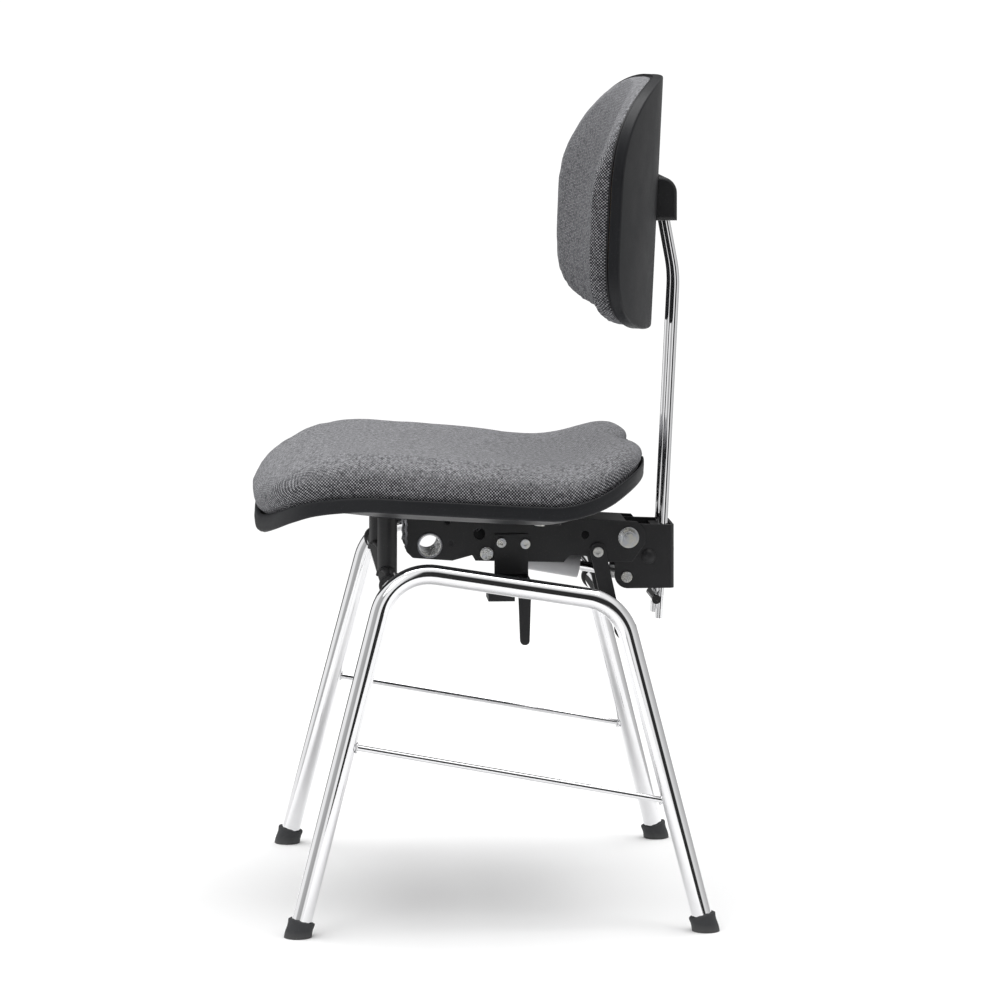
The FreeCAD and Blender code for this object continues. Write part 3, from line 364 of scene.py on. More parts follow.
# ---- shader nodes -------------------------------------------------------------------------------

class Tree:
    """Places and joins nodes in one shader tree. Sockets and numbers may be mixed as inputs."""

    def __init__(self, tree):
        self.tree = tree

    def put(self, socket, value):
        if isinstance(value, bpy.types.NodeSocket):
            self.tree.links.new(value, socket)
        elif value is not None:
            socket.default_value = value

    def node(self, kind, inputs=None, **settings):
        made = self.tree.nodes.new("ShaderNode" + kind)
        for name, value in settings.items():
            setattr(made, name, value)
        for name, value in (inputs or {}).items():
            self.put(made.inputs[name], value)
        return made

    def math(self, operation, a, b=0.0, clamp=False):
        made = self.node("Math", {0: a, 1: b}, operation=operation, use_clamp=clamp)
        return made.outputs[0]

    def vector_math(self, operation, a, b=None):
        made = self.node("VectorMath", {0: a, 1: b}, operation=operation)
        return made.outputs[0]

    def scaled(self, vector, amount):
        made = self.node("VectorMath", {0: vector, "Scale": amount}, operation="SCALE")
        return made.outputs[0]

    def split(self, vector):
        return self.node("SeparateXYZ", {0: vector}).outputs

    def joined(self, x, y, z=0.0):
        return self.node("CombineXYZ", {0: x, 1: y, 2: z}).outputs[0]

    def blend(self, factor, a, b):
        made = self.node("Mix", data_type="RGBA")
        self.put(made.inputs[0], factor)
        self.put(made.inputs[6], a)
        self.put(made.inputs[7], b)
        return made.outputs[2]

    def between(self, factor, a, b):
        made = self.node("Mix", {0: factor, 2: a, 3: b}, data_type="FLOAT")
        return made.outputs[0]

    def ranged(self, value, low, high, to_low=0.0, to_high=1.0):
        made = self.node("MapRange", {0: value, 1: low, 2: high, 3: to_low, 4: to_high})
        made.clamp = True
        return made.outputs[0]

    def noise(self, vector, scale, detail=2.0, roughness=0.5):
        made = self.node("TexNoise", {"Vector": vector, "Scale": scale, "Detail": detail,
                                      "Roughness": roughness})
        return made.outputs[0]

    def placed(self, group, **inputs):
        made = self.node("Group")
        made.node_tree = group
        for name, value in inputs.items():
            self.put(made.inputs[name.replace("_", " ")], value)
        return made.outputs


def node_group(name, inputs, outputs):
    """An empty node group with named sockets; returns it with its builder and its two end nodes."""
    group = bpy.data.node_groups.new(name, "ShaderNodeTree")
    for label, kind, default in inputs:
        socket = group.interface.new_socket(name=label, in_out="INPUT", socket_type="NodeSocket" + kind)
        if default is not None:
            socket.default_value = default
    for label, kind in outputs:
        group.interface.new_socket(name=label, in_out="OUTPUT", socket_type="NodeSocket" + kind)
    tree = Tree(group)
    start = group.nodes.new("NodeGroupInput")
    end = group.nodes.new("NodeGroupOutput")
    return group, tree, start.outputs, end.inputs


def colour(rgb):
    """Red, green and blue with a full fourth part, as colour sockets want them."""
    return (*rgb, 1.0)


def grain_group():
    """Fine even texture of moulded or powder-coated surfaces, with a slow mottle and faint dust."""
    group, t, given, out = node_group(
        "Surface grain",
        [("Vector", "Vector", None), ("Size", "Float", 1500.0)],
        [("Height", "Float"), ("Mottle", "Float"), ("Dust", "Float")])
    fine = t.noise(given["Vector"], given["Size"], 2.0, 0.55)
    cells = t.node("TexVoronoi", {"Vector": given["Vector"], "Scale": given["Size"]})
    t.put(out["Height"], t.between(0.45, fine, cells.outputs["Distance"]))
    t.put(out["Mottle"], t.noise(given["Vector"], 22.0, 4.0, 0.6))
    specks = t.noise(given["Vector"], 620.0, 3.0, 0.7)
    t.put(out["Dust"], t.ranged(specks, 0.60, 0.78))
    return group


def scratch_group():
    """Hairline rub marks and slow smears that run along a piece."""
    group, t, given, out = node_group(
        "Rub marks",
        [("Vector", "Vector", None), ("Stretch", "Vector", (1.0, 1.0, 1.0))],
        [("Scratches", "Float"), ("Smears", "Float")])
    drawn = t.vector_math("MULTIPLY", given["Vector"], given["Stretch"])
    lines = t.noise(drawn, 900.0, 3.0, 0.7)
    t.put(out["Scratches"], t.ranged(lines, 0.64, 0.72))
    t.put(out["Smears"], t.ranged(t.noise(given["Vector"], 14.0, 5.0, 0.62), 0.35, 0.75))
    return group


def thread_group():
    """One plane of a plain weave. Each square of the net shows the thread on top: humps of
    sin(pi u) and sin(pi v); every second square shows the light thread."""
    group, t, given, out = node_group(
        "Threads",
        [("U", "Float", 0.0), ("V", "Float", 0.0)],
        [("Light", "Float"), ("Height", "Float")])
    u, v = given["U"], given["V"]
    hump_u = t.math("SINE", t.math("MULTIPLY", t.math("FRACT", u), math.pi))
    hump_v = t.math("SINE", t.math("MULTIPLY", t.math("FRACT", v), math.pi))
    square_u, square_v = t.math("FLOOR", u), t.math("FLOOR", v)
    over = t.math("FLOORED_MODULO", t.math("ADD", square_u, square_v), 2.0)
    warp = t.math("MULTIPLY", t.math("POWER", hump_u, 0.6), t.between(hump_v, 0.45, 1.0))
    weft = t.math("MULTIPLY", t.math("POWER", hump_v, 0.6), t.between(hump_u, 0.45, 1.0))
    height = t.between(over, warp, weft)
    cell = t.node("TexWhiteNoise", {"Vector": t.joined(square_u, square_v)}, noise_dimensions="3D")
    mixed_yarn = t.between(cell.outputs["Value"], 0.45, 1.1)
    light = t.math("MULTIPLY", t.math("MULTIPLY", over, t.ranged(weft, 0.1, 0.75)), mixed_yarn)
    stray = t.math("GREATER_THAN", cell.outputs["Value"], 0.86)
    strayed = t.math("MULTIPLY", t.math("MULTIPLY", stray, t.math("SUBTRACT", 1.0, over)), 0.35)
    t.put(out["Light"], t.math("ADD", light, t.math("MULTIPLY", strayed, warp), clamp=True))
    t.put(out["Height"], height)
    return group


def weave_group():
    """The weave laid over a form: the thread plane taken from above, from the side and from the
    front, each shown where the surface faces that way."""
    threads = thread_group()
    group, t, given, out = node_group(
        "Basket weave",
        [("Vector", "Vector", None), ("Normal", "Vector", None), ("Pitch", "Float", 0.0015)],
        [(label, "Float") for label in ("Light", "Height", "Shade", "Nap_sheen", "Top")])
    wander = t.noise(given["Vector"], 60.0, 2.0)
    drift = t.scaled(t.joined(wander, wander, wander), 0.0006)
    net = t.vector_math("ADD", given["Vector"], drift)
    pitch = given["Pitch"]
    x, y, z = t.split(t.vector_math("DIVIDE", net, t.joined(pitch, pitch, pitch)))[:3]
    facing = t.split(t.vector_math("ABSOLUTE", given["Normal"]))[:3]
    strong = [t.math("POWER", side, 10.0) for side in facing]
    total = t.math("ADD", t.math("ADD", strong[0], strong[1]), strong[2])
    share = [t.math("DIVIDE", part, total) for part in strong]
    planes = [t.placed(threads, U=a, V=b) for a, b in ((y, z), (x, z), (x, y))]
    for key in ("Light", "Height"):
        parts = [t.math("MULTIPLY", plane[key], part) for plane, part in zip(planes, share)]
        t.put(out[key], t.math("ADD", t.math("ADD", parts[0], parts[1]), parts[2]))
    slow = t.noise(given["Vector"], 9.0, 4.0, 0.6)
    fuzz = t.noise(given["Vector"], 480.0, 3.0, 0.65)
    t.put(out["Shade"], t.between(0.5, slow, fuzz))
    # the last two outputs serve a painted sheen: a mottle for it, and how far the surface faces up
    t.put(out["Nap_sheen"], t.ranged(t.noise(given["Vector"], 300.0, 4.0, 0.75), 0.36, 0.66))
    t.put(out["Top"], t.ranged(t.split(given["Normal"])[2], 0.30, 0.85))
    return group


def new_material(name, **settings):
    """A material with one Principled shader whose plain values are set on its own sockets."""
    material = bpy.data.materials.new(name)
    material.use_nodes = True
    tree = Tree(material.node_tree)
    shader = material.node_tree.nodes["Principled BSDF"]
    for label, value in settings.items():
        shader.inputs[label.replace("_", " ")].default_value = value
    spot = tree.node("TexCoord").outputs["Object"]
    return material, tree, shader, spot


def bumped(tree, shader, height, strength, distance, normal=None):
    """A shader's normal taken from a height, over the surface's own normal or a given one."""
    made = tree.node("Bump", {"Height": height, "Strength": strength, "Distance": distance})
    if normal is not None:
        tree.put(made.inputs["Normal"], normal)
    tree.put(shader.inputs["Normal"], made.outputs[0])


def soft_edges(tree, radius):
    """A normal that rounds off pressed and machined edges."""
    return tree.node("Bevel", {"Radius": radius}, samples=4).outputs[0]


def edge_mask(tree, radius):
    """1 along edges: where the rounded normal leaves the surface's own one."""
    around = tree.node("Bevel", {"Radius": radius}, samples=4).outputs[0]
    plain = tree.node("NewGeometry").outputs["Normal"]
    same = tree.node("VectorMath", {0: around, 1: plain}, operation="DOT_PRODUCT").outputs["Value"]
    return tree.ranged(same, 0.97, 0.75)


def plated(name, groups, tint, stretch, roughness=0.045):
    """Bright plating over drawn tube: near mirror, with hairlines along it and slow smears."""
    material, t, shader, spot = new_material(name, Metallic=1.0)
    rub = t.placed(groups["rub"], Vector=spot, Stretch=stretch)
    grain = t.placed(groups["grain"], Vector=spot, Size=900.0)
    clean = colour(tint)
    dull = colour([0.86 * part for part in tint])
    t.put(shader.inputs["Base Color"], t.blend(t.math("MULTIPLY", rub["Smears"], 0.5), clean, dull))
    soft = t.math("ADD", t.math("MULTIPLY", rub["Smears"], 0.035),
                  t.math("MULTIPLY", rub["Scratches"], 0.10))
    t.put(shader.inputs["Roughness"], t.math("ADD", soft, roughness))
    wave = t.noise(t.vector_math("MULTIPLY", spot, stretch), 120.0, 2.0)
    height = t.math("ADD", t.math("MULTIPLY", wave, 0.6), t.math("MULTIPLY", grain["Height"], 0.05))
    bumped(t, shader, height, 0.05, 0.0004)
    return material


def zinc(name, groups):
    """Zinc-plated steel: soft bright metal with a faint yellow and blue cast, a fine grain and faint
    dust.
    """
    material, t, shader, spot = new_material(name, Metallic=1.0)
    cast = t.ranged(t.noise(spot, 160.0, 3.0), 0.35, 0.65)
    tone = t.blend(cast, (0.74, 0.73, 0.68, 1), (0.64, 0.66, 0.70, 1))
    grain = t.placed(groups["grain"], Vector=spot, Size=2600.0)
    dirt = t.math("MULTIPLY", grain["Dust"], 0.5)
    t.put(shader.inputs["Base Color"], t.blend(dirt, tone, (0.22, 0.21, 0.20, 1)))
    t.put(shader.inputs["Roughness"], t.ranged(grain["Mottle"], 0.3, 0.7, 0.20, 0.36))
    bumped(t, shader, grain["Height"], 0.15, 0.0002, soft_edges(t, 0.0005))
    return material


def powder_coat(name, groups, tone):
    """Powder coat: satin black with a fine orange-peel skin, paler where edges rub."""
    material, t, shader, spot = new_material(name, Specular_IOR_Level=0.4, Coat_Weight=0.06,
                                             Coat_Roughness=0.25)
    grain = t.placed(groups["grain"], Vector=spot, Size=950.0)
    rub = t.placed(groups["rub"], Vector=spot, Stretch=(0.25, 1.0, 1.0))
    worn = edge_mask(t, 0.0012)
    base = t.blend(grain["Mottle"], colour(tone), colour([1.7 * part for part in tone]))
    marked = t.blend(t.math("MULTIPLY", rub["Scratches"], 0.16), base, (0.16, 0.16, 0.17, 1))
    edged = t.blend(t.math("MULTIPLY", worn, 0.30), marked, (0.14, 0.14, 0.15, 1))
    t.put(shader.inputs["Base Color"], t.blend(t.math("MULTIPLY", grain["Dust"], 0.10), edged,
                                               (0.30, 0.29, 0.28, 1)))
    t.put(shader.inputs["Roughness"], t.ranged(grain["Mottle"], 0.3, 0.7, 0.34, 0.48))
    bumped(t, shader, grain["Height"], 0.22, 0.0003, soft_edges(t, 0.0008))
    return material


def moulded(name, groups, tone, rough, grain_size, edge=0.0008, depth=0.30, specular=0.36):
    """Moulded plastic: an etched grain, slow unevenness from the mould, and faint handling marks."""
    material, t, shader, spot = new_material(name, Specular_IOR_Level=specular)
    grain = t.placed(groups["grain"], Vector=spot, Size=grain_size)
    rub = t.placed(groups["rub"], Vector=spot, Stretch=(1.0, 0.35, 1.0))
    base = t.blend(grain["Mottle"], colour(tone), colour([1.5 * part for part in tone]))
    marked = t.blend(t.math("MULTIPLY", rub["Scratches"], 0.12), base, (0.13, 0.13, 0.14, 1))
    t.put(shader.inputs["Base Color"], t.blend(t.math("MULTIPLY", grain["Dust"], 0.08), marked,
                                               (0.30, 0.30, 0.31, 1)))
    t.put(shader.inputs["Roughness"], t.ranged(grain["Mottle"], 0.3, 0.7, rough, rough + 0.12))
    bumped(t, shader, grain["Height"], depth, 0.00025, soft_edges(t, edge))
    return material


def foot_rubber(name, groups):
    """Moulded rubber: matt dark grey with floor dust gathered low down and in its grain."""
    material, t, shader, spot = new_material(name, Specular_IOR_Level=0.35)
    grain = t.placed(groups["grain"], Vector=spot, Size=1100.0)
    height = t.split(spot)[2]
    low = t.ranged(t.math("ADD", height, t.math("MULTIPLY", grain["Mottle"], 0.006)), 0.011, 0.001)
    base = t.blend(grain["Mottle"], (0.026, 0.027, 0.029, 1), (0.042, 0.043, 0.046, 1))
    dusty = t.math("MAXIMUM", t.math("MULTIPLY", low, 0.22), t.math("MULTIPLY", grain["Dust"], 0.18))
    t.put(shader.inputs["Base Color"], t.blend(dusty, base, (0.24, 0.235, 0.225, 1)))
    t.put(shader.inputs["Roughness"], t.ranged(grain["Mottle"], 0.3, 0.7, 0.58, 0.75))
    bumped(t, shader, grain["Height"], 0.35, 0.0003)
    return material


def tweed(name, groups, dark, light, pitch):
    """Upholstery tweed: dark ground yarn, lighter flecks, a soft sheen, and a mottled painted sheen on
    upward faces.
    """
    material, t, shader, _ = new_material(
        name, Specular_IOR_Level=0.08, Sheen_Weight=0.22, Sheen_Roughness=0.5,
        Sheen_Tint=(0.80, 0.81, 0.84, 1))
    net = t.node("Attribute", attribute_name="weave").outputs["Vector"]
    facing = t.node("TexCoord").outputs["Normal"]
    cloth = t.placed(groups["weave"], Vector=net, Normal=facing, Pitch=pitch * MM)
    ground = t.blend(cloth["Shade"], colour(dark), colour([2.0 * part for part in dark]))
    fleck = t.blend(cloth["Shade"], colour([0.55 * part for part in light]), colour(light))
    woven = t.blend(t.ranged(cloth["Light"], 0.12, 0.85), ground, fleck)
    # painted sheen: faces turned up are lightened towards a mottled pale grey, standing for light
    # grazing the fuzz
    painted_sheen = t.blend(cloth["Nap_sheen"], colour([0.10 * part for part in light]),
                  colour([0.95 * part for part in light]))
    t.put(shader.inputs["Base Color"], t.blend(t.math("MULTIPLY", cloth["Top"], 0.62), woven, painted_sheen))
    t.put(shader.inputs["Roughness"], t.ranged(cloth["Shade"], 0.3, 0.7, 0.85, 0.97))
    high = t.math("ADD", cloth["Height"], t.math("MULTIPLY", cloth["Shade"], 0.5))
    bumped(t, shader, high, 0.55, 0.0005)
    return material


def plywood(name):
    """Beech plywood: long grain on the face and thin plies at the edge."""
    material, t, shader, spot = new_material(name, Roughness=0.7)
    drawn = t.vector_math("MULTIPLY", spot, (1.0, 9.0, 9.0))
    rings = t.node("TexWave", {"Vector": drawn, "Scale": 6.0, "Distortion": 7.0, "Detail": 3.0,
                               "Detail Scale": 1.5}, bands_direction="Y").outputs[0]
    pores = t.ranged(t.noise(t.vector_math("MULTIPLY", spot, (40.0, 700.0, 700.0)), 1.0, 2.0), 0.5, 0.7)
    face = t.blend(rings, (0.52, 0.36, 0.20, 1), (0.66, 0.49, 0.30, 1))
    t.put(shader.inputs["Base Color"], t.blend(t.math("MULTIPLY", pores, 0.4), face,
                                               (0.30, 0.19, 0.10, 1)))
    bumped(t, shader, pores, 0.3, 0.0002)
    return material


def bead_metal(name, groups):
    """Bare weld bead: ripples of dull silver with a dark heat tint."""
    material, t, shader, spot = new_material(name, Metallic=1.0)
    grain = t.placed(groups["grain"], Vector=spot, Size=1400.0)
    t.put(shader.inputs["Base Color"], t.blend(t.ranged(grain["Mottle"], 0.35, 0.65),
                                               (0.34, 0.34, 0.36, 1), (0.10, 0.10, 0.11, 1)))
    t.put(shader.inputs["Roughness"], t.ranged(grain["Mottle"], 0.3, 0.7, 0.35, 0.6))
    bumped(t, shader, grain["Height"], 0.5, 0.0004)
    return material


MATERIALS = {}


def finish_of(key):
    """A finish by name, made the first time it is asked for."""
    if not MATERIALS:
        looks = bpy.context.scene.chair_finishes
        groups = {"grain": grain_group(), "rub": scratch_group(), "weave": weave_group()}
        MATERIALS.update({
            "tube": plated("Plated tube", groups, (0.80, 0.80, 0.81), (1.0, 1.0, 0.06)),
            "bar": plated("Plated bar", groups, (0.78, 0.78, 0.79), (0.06, 1.0, 1.0)),
            "zinc": zinc("Zinc steel", groups),
            "painted": powder_coat("Powder coat", groups, looks.painted),
            "shell": moulded("Moulded shell", groups, looks.moulded, 0.40, 1300.0, specular=0.26),
            "plastic": moulded("Grained plastic", groups, (0.007, 0.007, 0.008), 0.42, 800.0),
            "rubber": foot_rubber("Foot rubber", groups),
            "tweed": tweed("Upholstery tweed", groups, looks.yarn_dark, looks.yarn_light,
                           looks.thread_pitch),
            "wood": plywood("Plywood"),
            "bead": bead_metal("Weld bead", groups),
            "lacquer": moulded("Grey lacquer", groups, (0.30, 0.30, 0.31), 0.25, 500.0),
        })
    return MATERIALS[key]


def dress(obj, key):
    """Give an object one finish in every slot."""
    slots = obj.data.materials
    if not slots:
        slots.append(finish_of(key))
    for i in range(len(slots)):
        slots[i] = finish_of(key)


def settle(obj, body, key, nodes=()):
    """Join a new piece to its body, with its finish and the nodes it stands for."""
    dress(obj, key)
    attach(obj, body)
    if nodes:
        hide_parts(*nodes)
    return obj


# ---- seat ---------------------------------------------------------------------------------------

def seat_ring(sizes, inset, scale=1.0, count=220, ahead=SHELL_FRONT):
    """The seat's plan outline, inset all round and scaled about its middle, with the rear hollow and
    its front moved ahead."""
    ring = superellipse(sizes.half_width - inset, sizes.half_depth - inset, 3.4, 4.0, count)
    x, y = ring.T
    y = np.where(y < 0, y * (1 + ahead / sizes.half_depth), y)
    hollow = sizes.notch * np.cos(np.pi * x / (2 * NOTCH_HALF)) ** 2
    y = y - np.where((y > 0) & (np.abs(x) < NOTCH_HALF), hollow, 0)
    middle = (FRONT + REAR) / 2
    return x * scale, y * scale + middle


def rim_height(y):
    """The height of the shell's rim along the seat."""
    return soft_line(RIM_LINE, y)


def edge_height(y, sizes):
    """The lower edge of the shell's outer band, a constant width away from the sloping rim."""
    slope = (rim_height(y + 1) - rim_height(y - 1)) / 2
    return rim_height(y) - sizes.band * np.sqrt(1 + slope * slope)


def floor_height(y):
    """The height of the shell's underside along the seat."""
    return soft_line(FLOOR_LINE, y)


def seat_cushion_grid(sizes):
    """The cushion's rings, in order: its underside out from the middle, the tucked edge, a side wall
    that rounds over as height = sin^(2/n) and inset = R (1 - cos^(2/n)), and the top to the middle."""
    rings = []
    for scale in np.linspace(0.08, 1, 12):
        x, y = seat_ring(sizes, 40.0, scale)
        low = np.maximum(np.minimum(rim_height(y) - 9, BOARD_TOP), floor_height(y) + sizes.wall + 8)
        rings.append(np.stack([x, y, low], 1))
    for inset, drop in ((22.0, 7.5), (10.0, 6.0), (5.5, 4.0), (4.0, 1.0)):
        x, y = seat_ring(sizes, inset)
        rings.append(np.stack([x, y, rim_height(y) - drop], 1))
    power = 2 / 2.5
    for turn in np.linspace(0.06, 1, 22) * math.pi / 2:
        inset = SIDE_INSET + sizes.roundness * (1 - math.cos(turn) ** power)
        ahead = SHELL_FRONT + (BULGE - SHELL_FRONT) * min(1, turn / 0.35)
        x, y = seat_ring(sizes, inset, ahead=ahead)
        rise = soft_line(STUFFING_LINE, y) * math.sin(turn) ** power
        rings.append(np.stack([x, y, rim_height(y) + 0.6 + rise], 1))
    for scale in np.linspace(0.97, 0.04, 26):
        x, y = seat_ring(sizes, SIDE_INSET + sizes.roundness, scale, ahead=BULGE)
        top = rim_height(y) + 0.6 + soft_line(STUFFING_LINE, y)
        dish = 3.5 * np.exp(-(x / 110) ** 2) * np.exp(-((y - 90) / 100) ** 2)
        rings.append(np.stack([x, y, top - dish], 1))
    return np.stack(rings)


def seat_shell_grid(sizes):
    """The shell's rings: under its floor from the middle, the dished flank, the round of its lower
    edge, the outer band, the lip, and the same again inside."""
    rings = []

    def add(inset, scale, height):
        x, y = seat_ring(sizes, inset, scale, 260)
        rings.append(np.stack([x, y, height(y)], 1))

    def flank(y, share):
        edge = edge_height(y, sizes)
        floor = np.minimum(floor_height(y), edge)
        eased = share * share * (3 - 2 * share)
        return floor + (edge - floor) * eased

    def between(low, high, share):
        return low * (1 - share) + high * share

    for scale in np.linspace(0.06, 1, 14):
        add(PAN_INSET, scale, lambda y: flank(y, 0.0))
    for share in np.linspace(0.1, 1, 12):
        add(PAN_INSET - (PAN_INSET - LIP_ROUND) * share, 1.0, lambda y, s=share: flank(y, s))
    for turn in np.linspace(0.2, 1, 5) * math.pi / 2:
        rise = LIP_ROUND * (1 - math.cos(turn))
        add(LIP_ROUND * (1 - math.sin(turn)), 1.0, lambda y, r=rise: edge_height(y, sizes) + r)
    for share in np.linspace(0.2, 1, 6):
        swell = 0.25 * math.sin(math.pi * share)
        add(0.3 - swell, 1.0,
            lambda y, s=share: between(edge_height(y, sizes) + LIP_ROUND, rim_height(y) - 1.6, s))
    # the lip rounds over and turns in
    for inset, drop in ((0.5, 0.6), (1.3, 0.05), (2.2, 0.05), (sizes.wall, 0.8)):
        add(inset, 1.0, lambda y, d=drop: rim_height(y) - d)
    for share in (0.2, 0.5, 0.8, 1.0):
        add(sizes.wall + 0.1, 1.0,
            lambda y, s=share: between(rim_height(y) - 0.8, edge_height(y, sizes) + sizes.wall + 0.5, s))
    for share in np.linspace(0.95, 0.0, 12):
        inset = PAN_INSET - (PAN_INSET - sizes.wall - 2.5) * share
        add(inset, 1.0, lambda y, s=share: flank(y, s) + sizes.wall)
    for scale in np.linspace(0.97, 0.06, 12):
        add(PAN_INSET, scale, lambda y: flank(y, 0.0) + sizes.wall)
    return np.stack(rings)


class CHAIR_OT_seat_cushion(bpy.types.Operator):
    """Build the stuffed seat cushion and its weave."""

    bl_idname = "chair.seat_cushion"
    bl_label = "Seat cushion"

    def execute(self, context):
        sizes = context.scene.chair_seat
        grid = turned(seat_cushion_grid(sizes), SEAT_LEAN, SEAT_ORIGIN)
        pad = closed_mesh("seat_cushion", [(grid, False)])

        def held(points):
            _, y, z = unturned(points, SEAT_LEAN, SEAT_ORIGIN).T
            return z < rim_height(y) + 3.5

        puffed(pad, held, cap=0.0025)
        smoothed(pad)
        subdivided(pad)
        local = unturned(points_of(pad), SEAT_LEAN, SEAT_ORIGIN)
        x, y, z = local.T
        above = z - rim_height(y)
        # the cloth is drawn in under the shell's lip, and a shallow dip follows it
        tuck = -0.0012 * np.exp(-((above - 1.0) / 2.2) ** 2)
        pushed(pad, tuck)
        keep_attribute(pad, "weave", np.stack([x, y, above], 1) * MM)
        settle(pad, "base", "tweed", ["seat_pad"])
        return {"FINISHED"}


class CHAIR_OT_seat_shell(bpy.types.Operator):
    """Build the moulded shell under the seat cushion."""

    bl_idname = "chair.seat_shell"
    bl_label = "Seat shell"

    def execute(self, context):
        grid = turned(seat_shell_grid(context.scene.chair_seat), SEAT_LEAN, SEAT_ORIGIN)
        shell = closed_mesh("seat_moulded_shell", [(grid, False)])
        settle(shell, "base", "shell", ["seat_shell"])
        return {"FINISHED"}


# ---- backrest -----------------------------------------------------------------------------------

def back_ring(sizes, inset, scale=1.0, count=220, high=UPPER_POWER):
    """The backrest's front outline, inset all round and scaled about its middle."""
    ring = superellipse(sizes.half_width - inset, sizes.half_height - inset, LOWER_POWER, high, count)
    return ring[:, 0] * scale, ring[:, 1] * scale + BACK_MIDDLE


def back_y(x, depth):
    """Distance back from the frame's origin of the curved back, at a depth in front of its rear
    surface: a circle's arc about an upright axis."""
    return np.sqrt((BACK_CURVE - depth) ** 2 - x ** 2) - BACK_CURVE


def back_cushion_grid(sizes):
    """The cushion's rings: its rear face from the middle, the side band, the rounded seam, and the
    crowned front, whose depth grows from the side band's to the middle's."""
    rings = []

    def add(inset, scale, depth, crown=0.0):
        x, z = back_ring(sizes, inset, scale, high=UPPER_POWER - 0.8 * min(1, depth / sizes.side))
        across = np.clip(1 - (x / sizes.half_width) ** 2, 0, 1)
        upright = np.clip(1 - np.abs((z - BACK_MIDDLE) / sizes.half_height) ** 3, 0, 1)
        thick = depth + crown * (sizes.middle - sizes.side) * across * upright
        rings.append(np.stack([x, back_y(x, CLOTH_REAR) - thick, z], 1))

    for scale in np.linspace(0.06, 1, 10):
        add(2.8, scale, 0.0)
    def swelled(inset):
        return sizes.side + SEAM_SWELL * (1 - math.exp(-(inset - SEAM_INSET) / 9))

    band = ((2.6, 0.5), (2.3, 3.0), (1.8, 7.0), (1.6, 11.0), (1.8, 13.5), (2.2, SEAM_DEPTH))
    for inset, depth in band:
        add(inset, 1.0, depth)
    for turn in np.linspace(0.25, 1, 4) * math.pi / 2:
        add(2.2 + 3.2 * (1 - math.cos(turn)), 1.0,
            SEAM_DEPTH + (sizes.side - SEAM_DEPTH) * math.sin(turn))
    for inset in (8.0, 12.0, 18.0, 26.0, FRONT_INSET):
        add(inset, 1.0, swelled(inset), 1.0)
    for scale in np.linspace(0.95, 0.05, 18):
        add(FRONT_INSET, scale, swelled(FRONT_INSET), 1.0)
    return np.stack(rings)


def back_shell_grid(sizes):
    """The shell's rings: its rear face from the middle, a tight round, the rim band forward to the
    lip, and the inside back to the middle."""
    rings = []

    def add(inset, scale, depth):
        x, z = back_ring(sizes, inset, scale, 300)
        rings.append(np.stack([x, back_y(x, 0) - depth, z], 1))

    for scale in np.linspace(0.04, 1, 20):
        add(6.0, scale, 0.0)
    for inset in (4.5, 3.0, 1.9):
        add(inset, 1.0, 0.05)
    for turn in np.linspace(0.2, 1, 5) * math.pi / 2:
        add(1.5 * (1 - math.sin(turn)), 1.0, 0.1 + 1.5 * (1 - math.cos(turn)))
    for depth in (3.5, 6.0, 8.5, 10.0, 10.8):
        add(0.15 + 0.05 * (10.8 - depth) / 9, 1.0, depth)
    add(0.7, 1.0, RIM_DEPTH - 0.15)
    add(1.5, 1.0, RIM_DEPTH)
    add(2.4, 1.0, RIM_DEPTH)
    add(3.0, 1.0, RIM_DEPTH - 0.7)
    for depth in (9.0, 6.0, 3.2):
        add(3.1, 1.0, depth)
    for scale in np.linspace(0.99, 0.04, 14):
        add(4.2, scale, 3.0)
    return np.stack(rings)


class CHAIR_OT_back_cushion(bpy.types.Operator):
    """Build the stuffed backrest cushion, its seam and its weave."""

    bl_idname = "chair.back_cushion"
    bl_label = "Backrest cushion"

    def execute(self, context):
        sizes = context.scene.chair_back
        grid = turned(back_cushion_grid(sizes), BACK_LEAN, BACK_ORIGIN)
        pad = closed_mesh("backrest_cushion", [(grid, False)])

        def depth_of(points):
            x, y, z = unturned(points, BACK_LEAN, BACK_ORIGIN).T
            return x, z, back_y(x, CLOTH_REAR) - y

        puffed(pad, lambda points: depth_of(points)[2] < 2.5, voxel=0.004, cap=0.0018)
        smoothed(pad)
        subdivided(pad)
        x, z, depth = depth_of(points_of(pad))
        half_z = (z - BACK_MIDDLE) / sizes.half_height
        edge = np.abs(x / sizes.half_width) ** 4.2 + np.abs(half_z) ** 4.2
        # the seam: a ridge where the side band meets the front, with a fine valley behind it
        near = np.clip((edge - 0.55) / 0.3, 0, 1)
        ridge = 0.0009 * np.exp(-((depth - sizes.side + 0.4) / 1.7) ** 2) * near
        valley = -0.0008 * np.exp(-((depth - sizes.side + 4.6) / 1.3) ** 2) * near
        pushed(pad, ridge + valley)
        along = BACK_CURVE * np.arcsin(np.clip(x / BACK_CURVE, -1, 1))
        keep_attribute(pad, "weave", np.stack([along, depth, z], 1) * MM)
        settle(pad, "back_pad", "tweed", ["backrest_pad"])
        return {"FINISHED"}


class CHAIR_OT_back_crease_shade(bpy.types.Operator):
    """Build a dark tube that closes the gap between the cloth and the shell's lip: painted shade in that
    crease.
    """

    bl_idname = "chair.back_edging"
    bl_label = "Backrest crease shade"

    def execute(self, context):
        x, z = back_ring(context.scene.chair_back, 3.4, count=320)
        line = turned(np.stack([x, back_y(x, RIM_DEPTH) - 0.6, z], 1), BACK_LEAN, BACK_ORIGIN)
        # the ends lap, so that the ring is closed
        lapped = np.vstack([line, line[:3]])
        crease_shade = closed_mesh("backrest_crease_shade", [(swept(lapped, 0.0013, 10), False)])
        # painted shade: a dark plastic tube fills the crease between the cloth and the lip
        settle(crease_shade, "back_pad", "plastic")
        return {"FINISHED"}


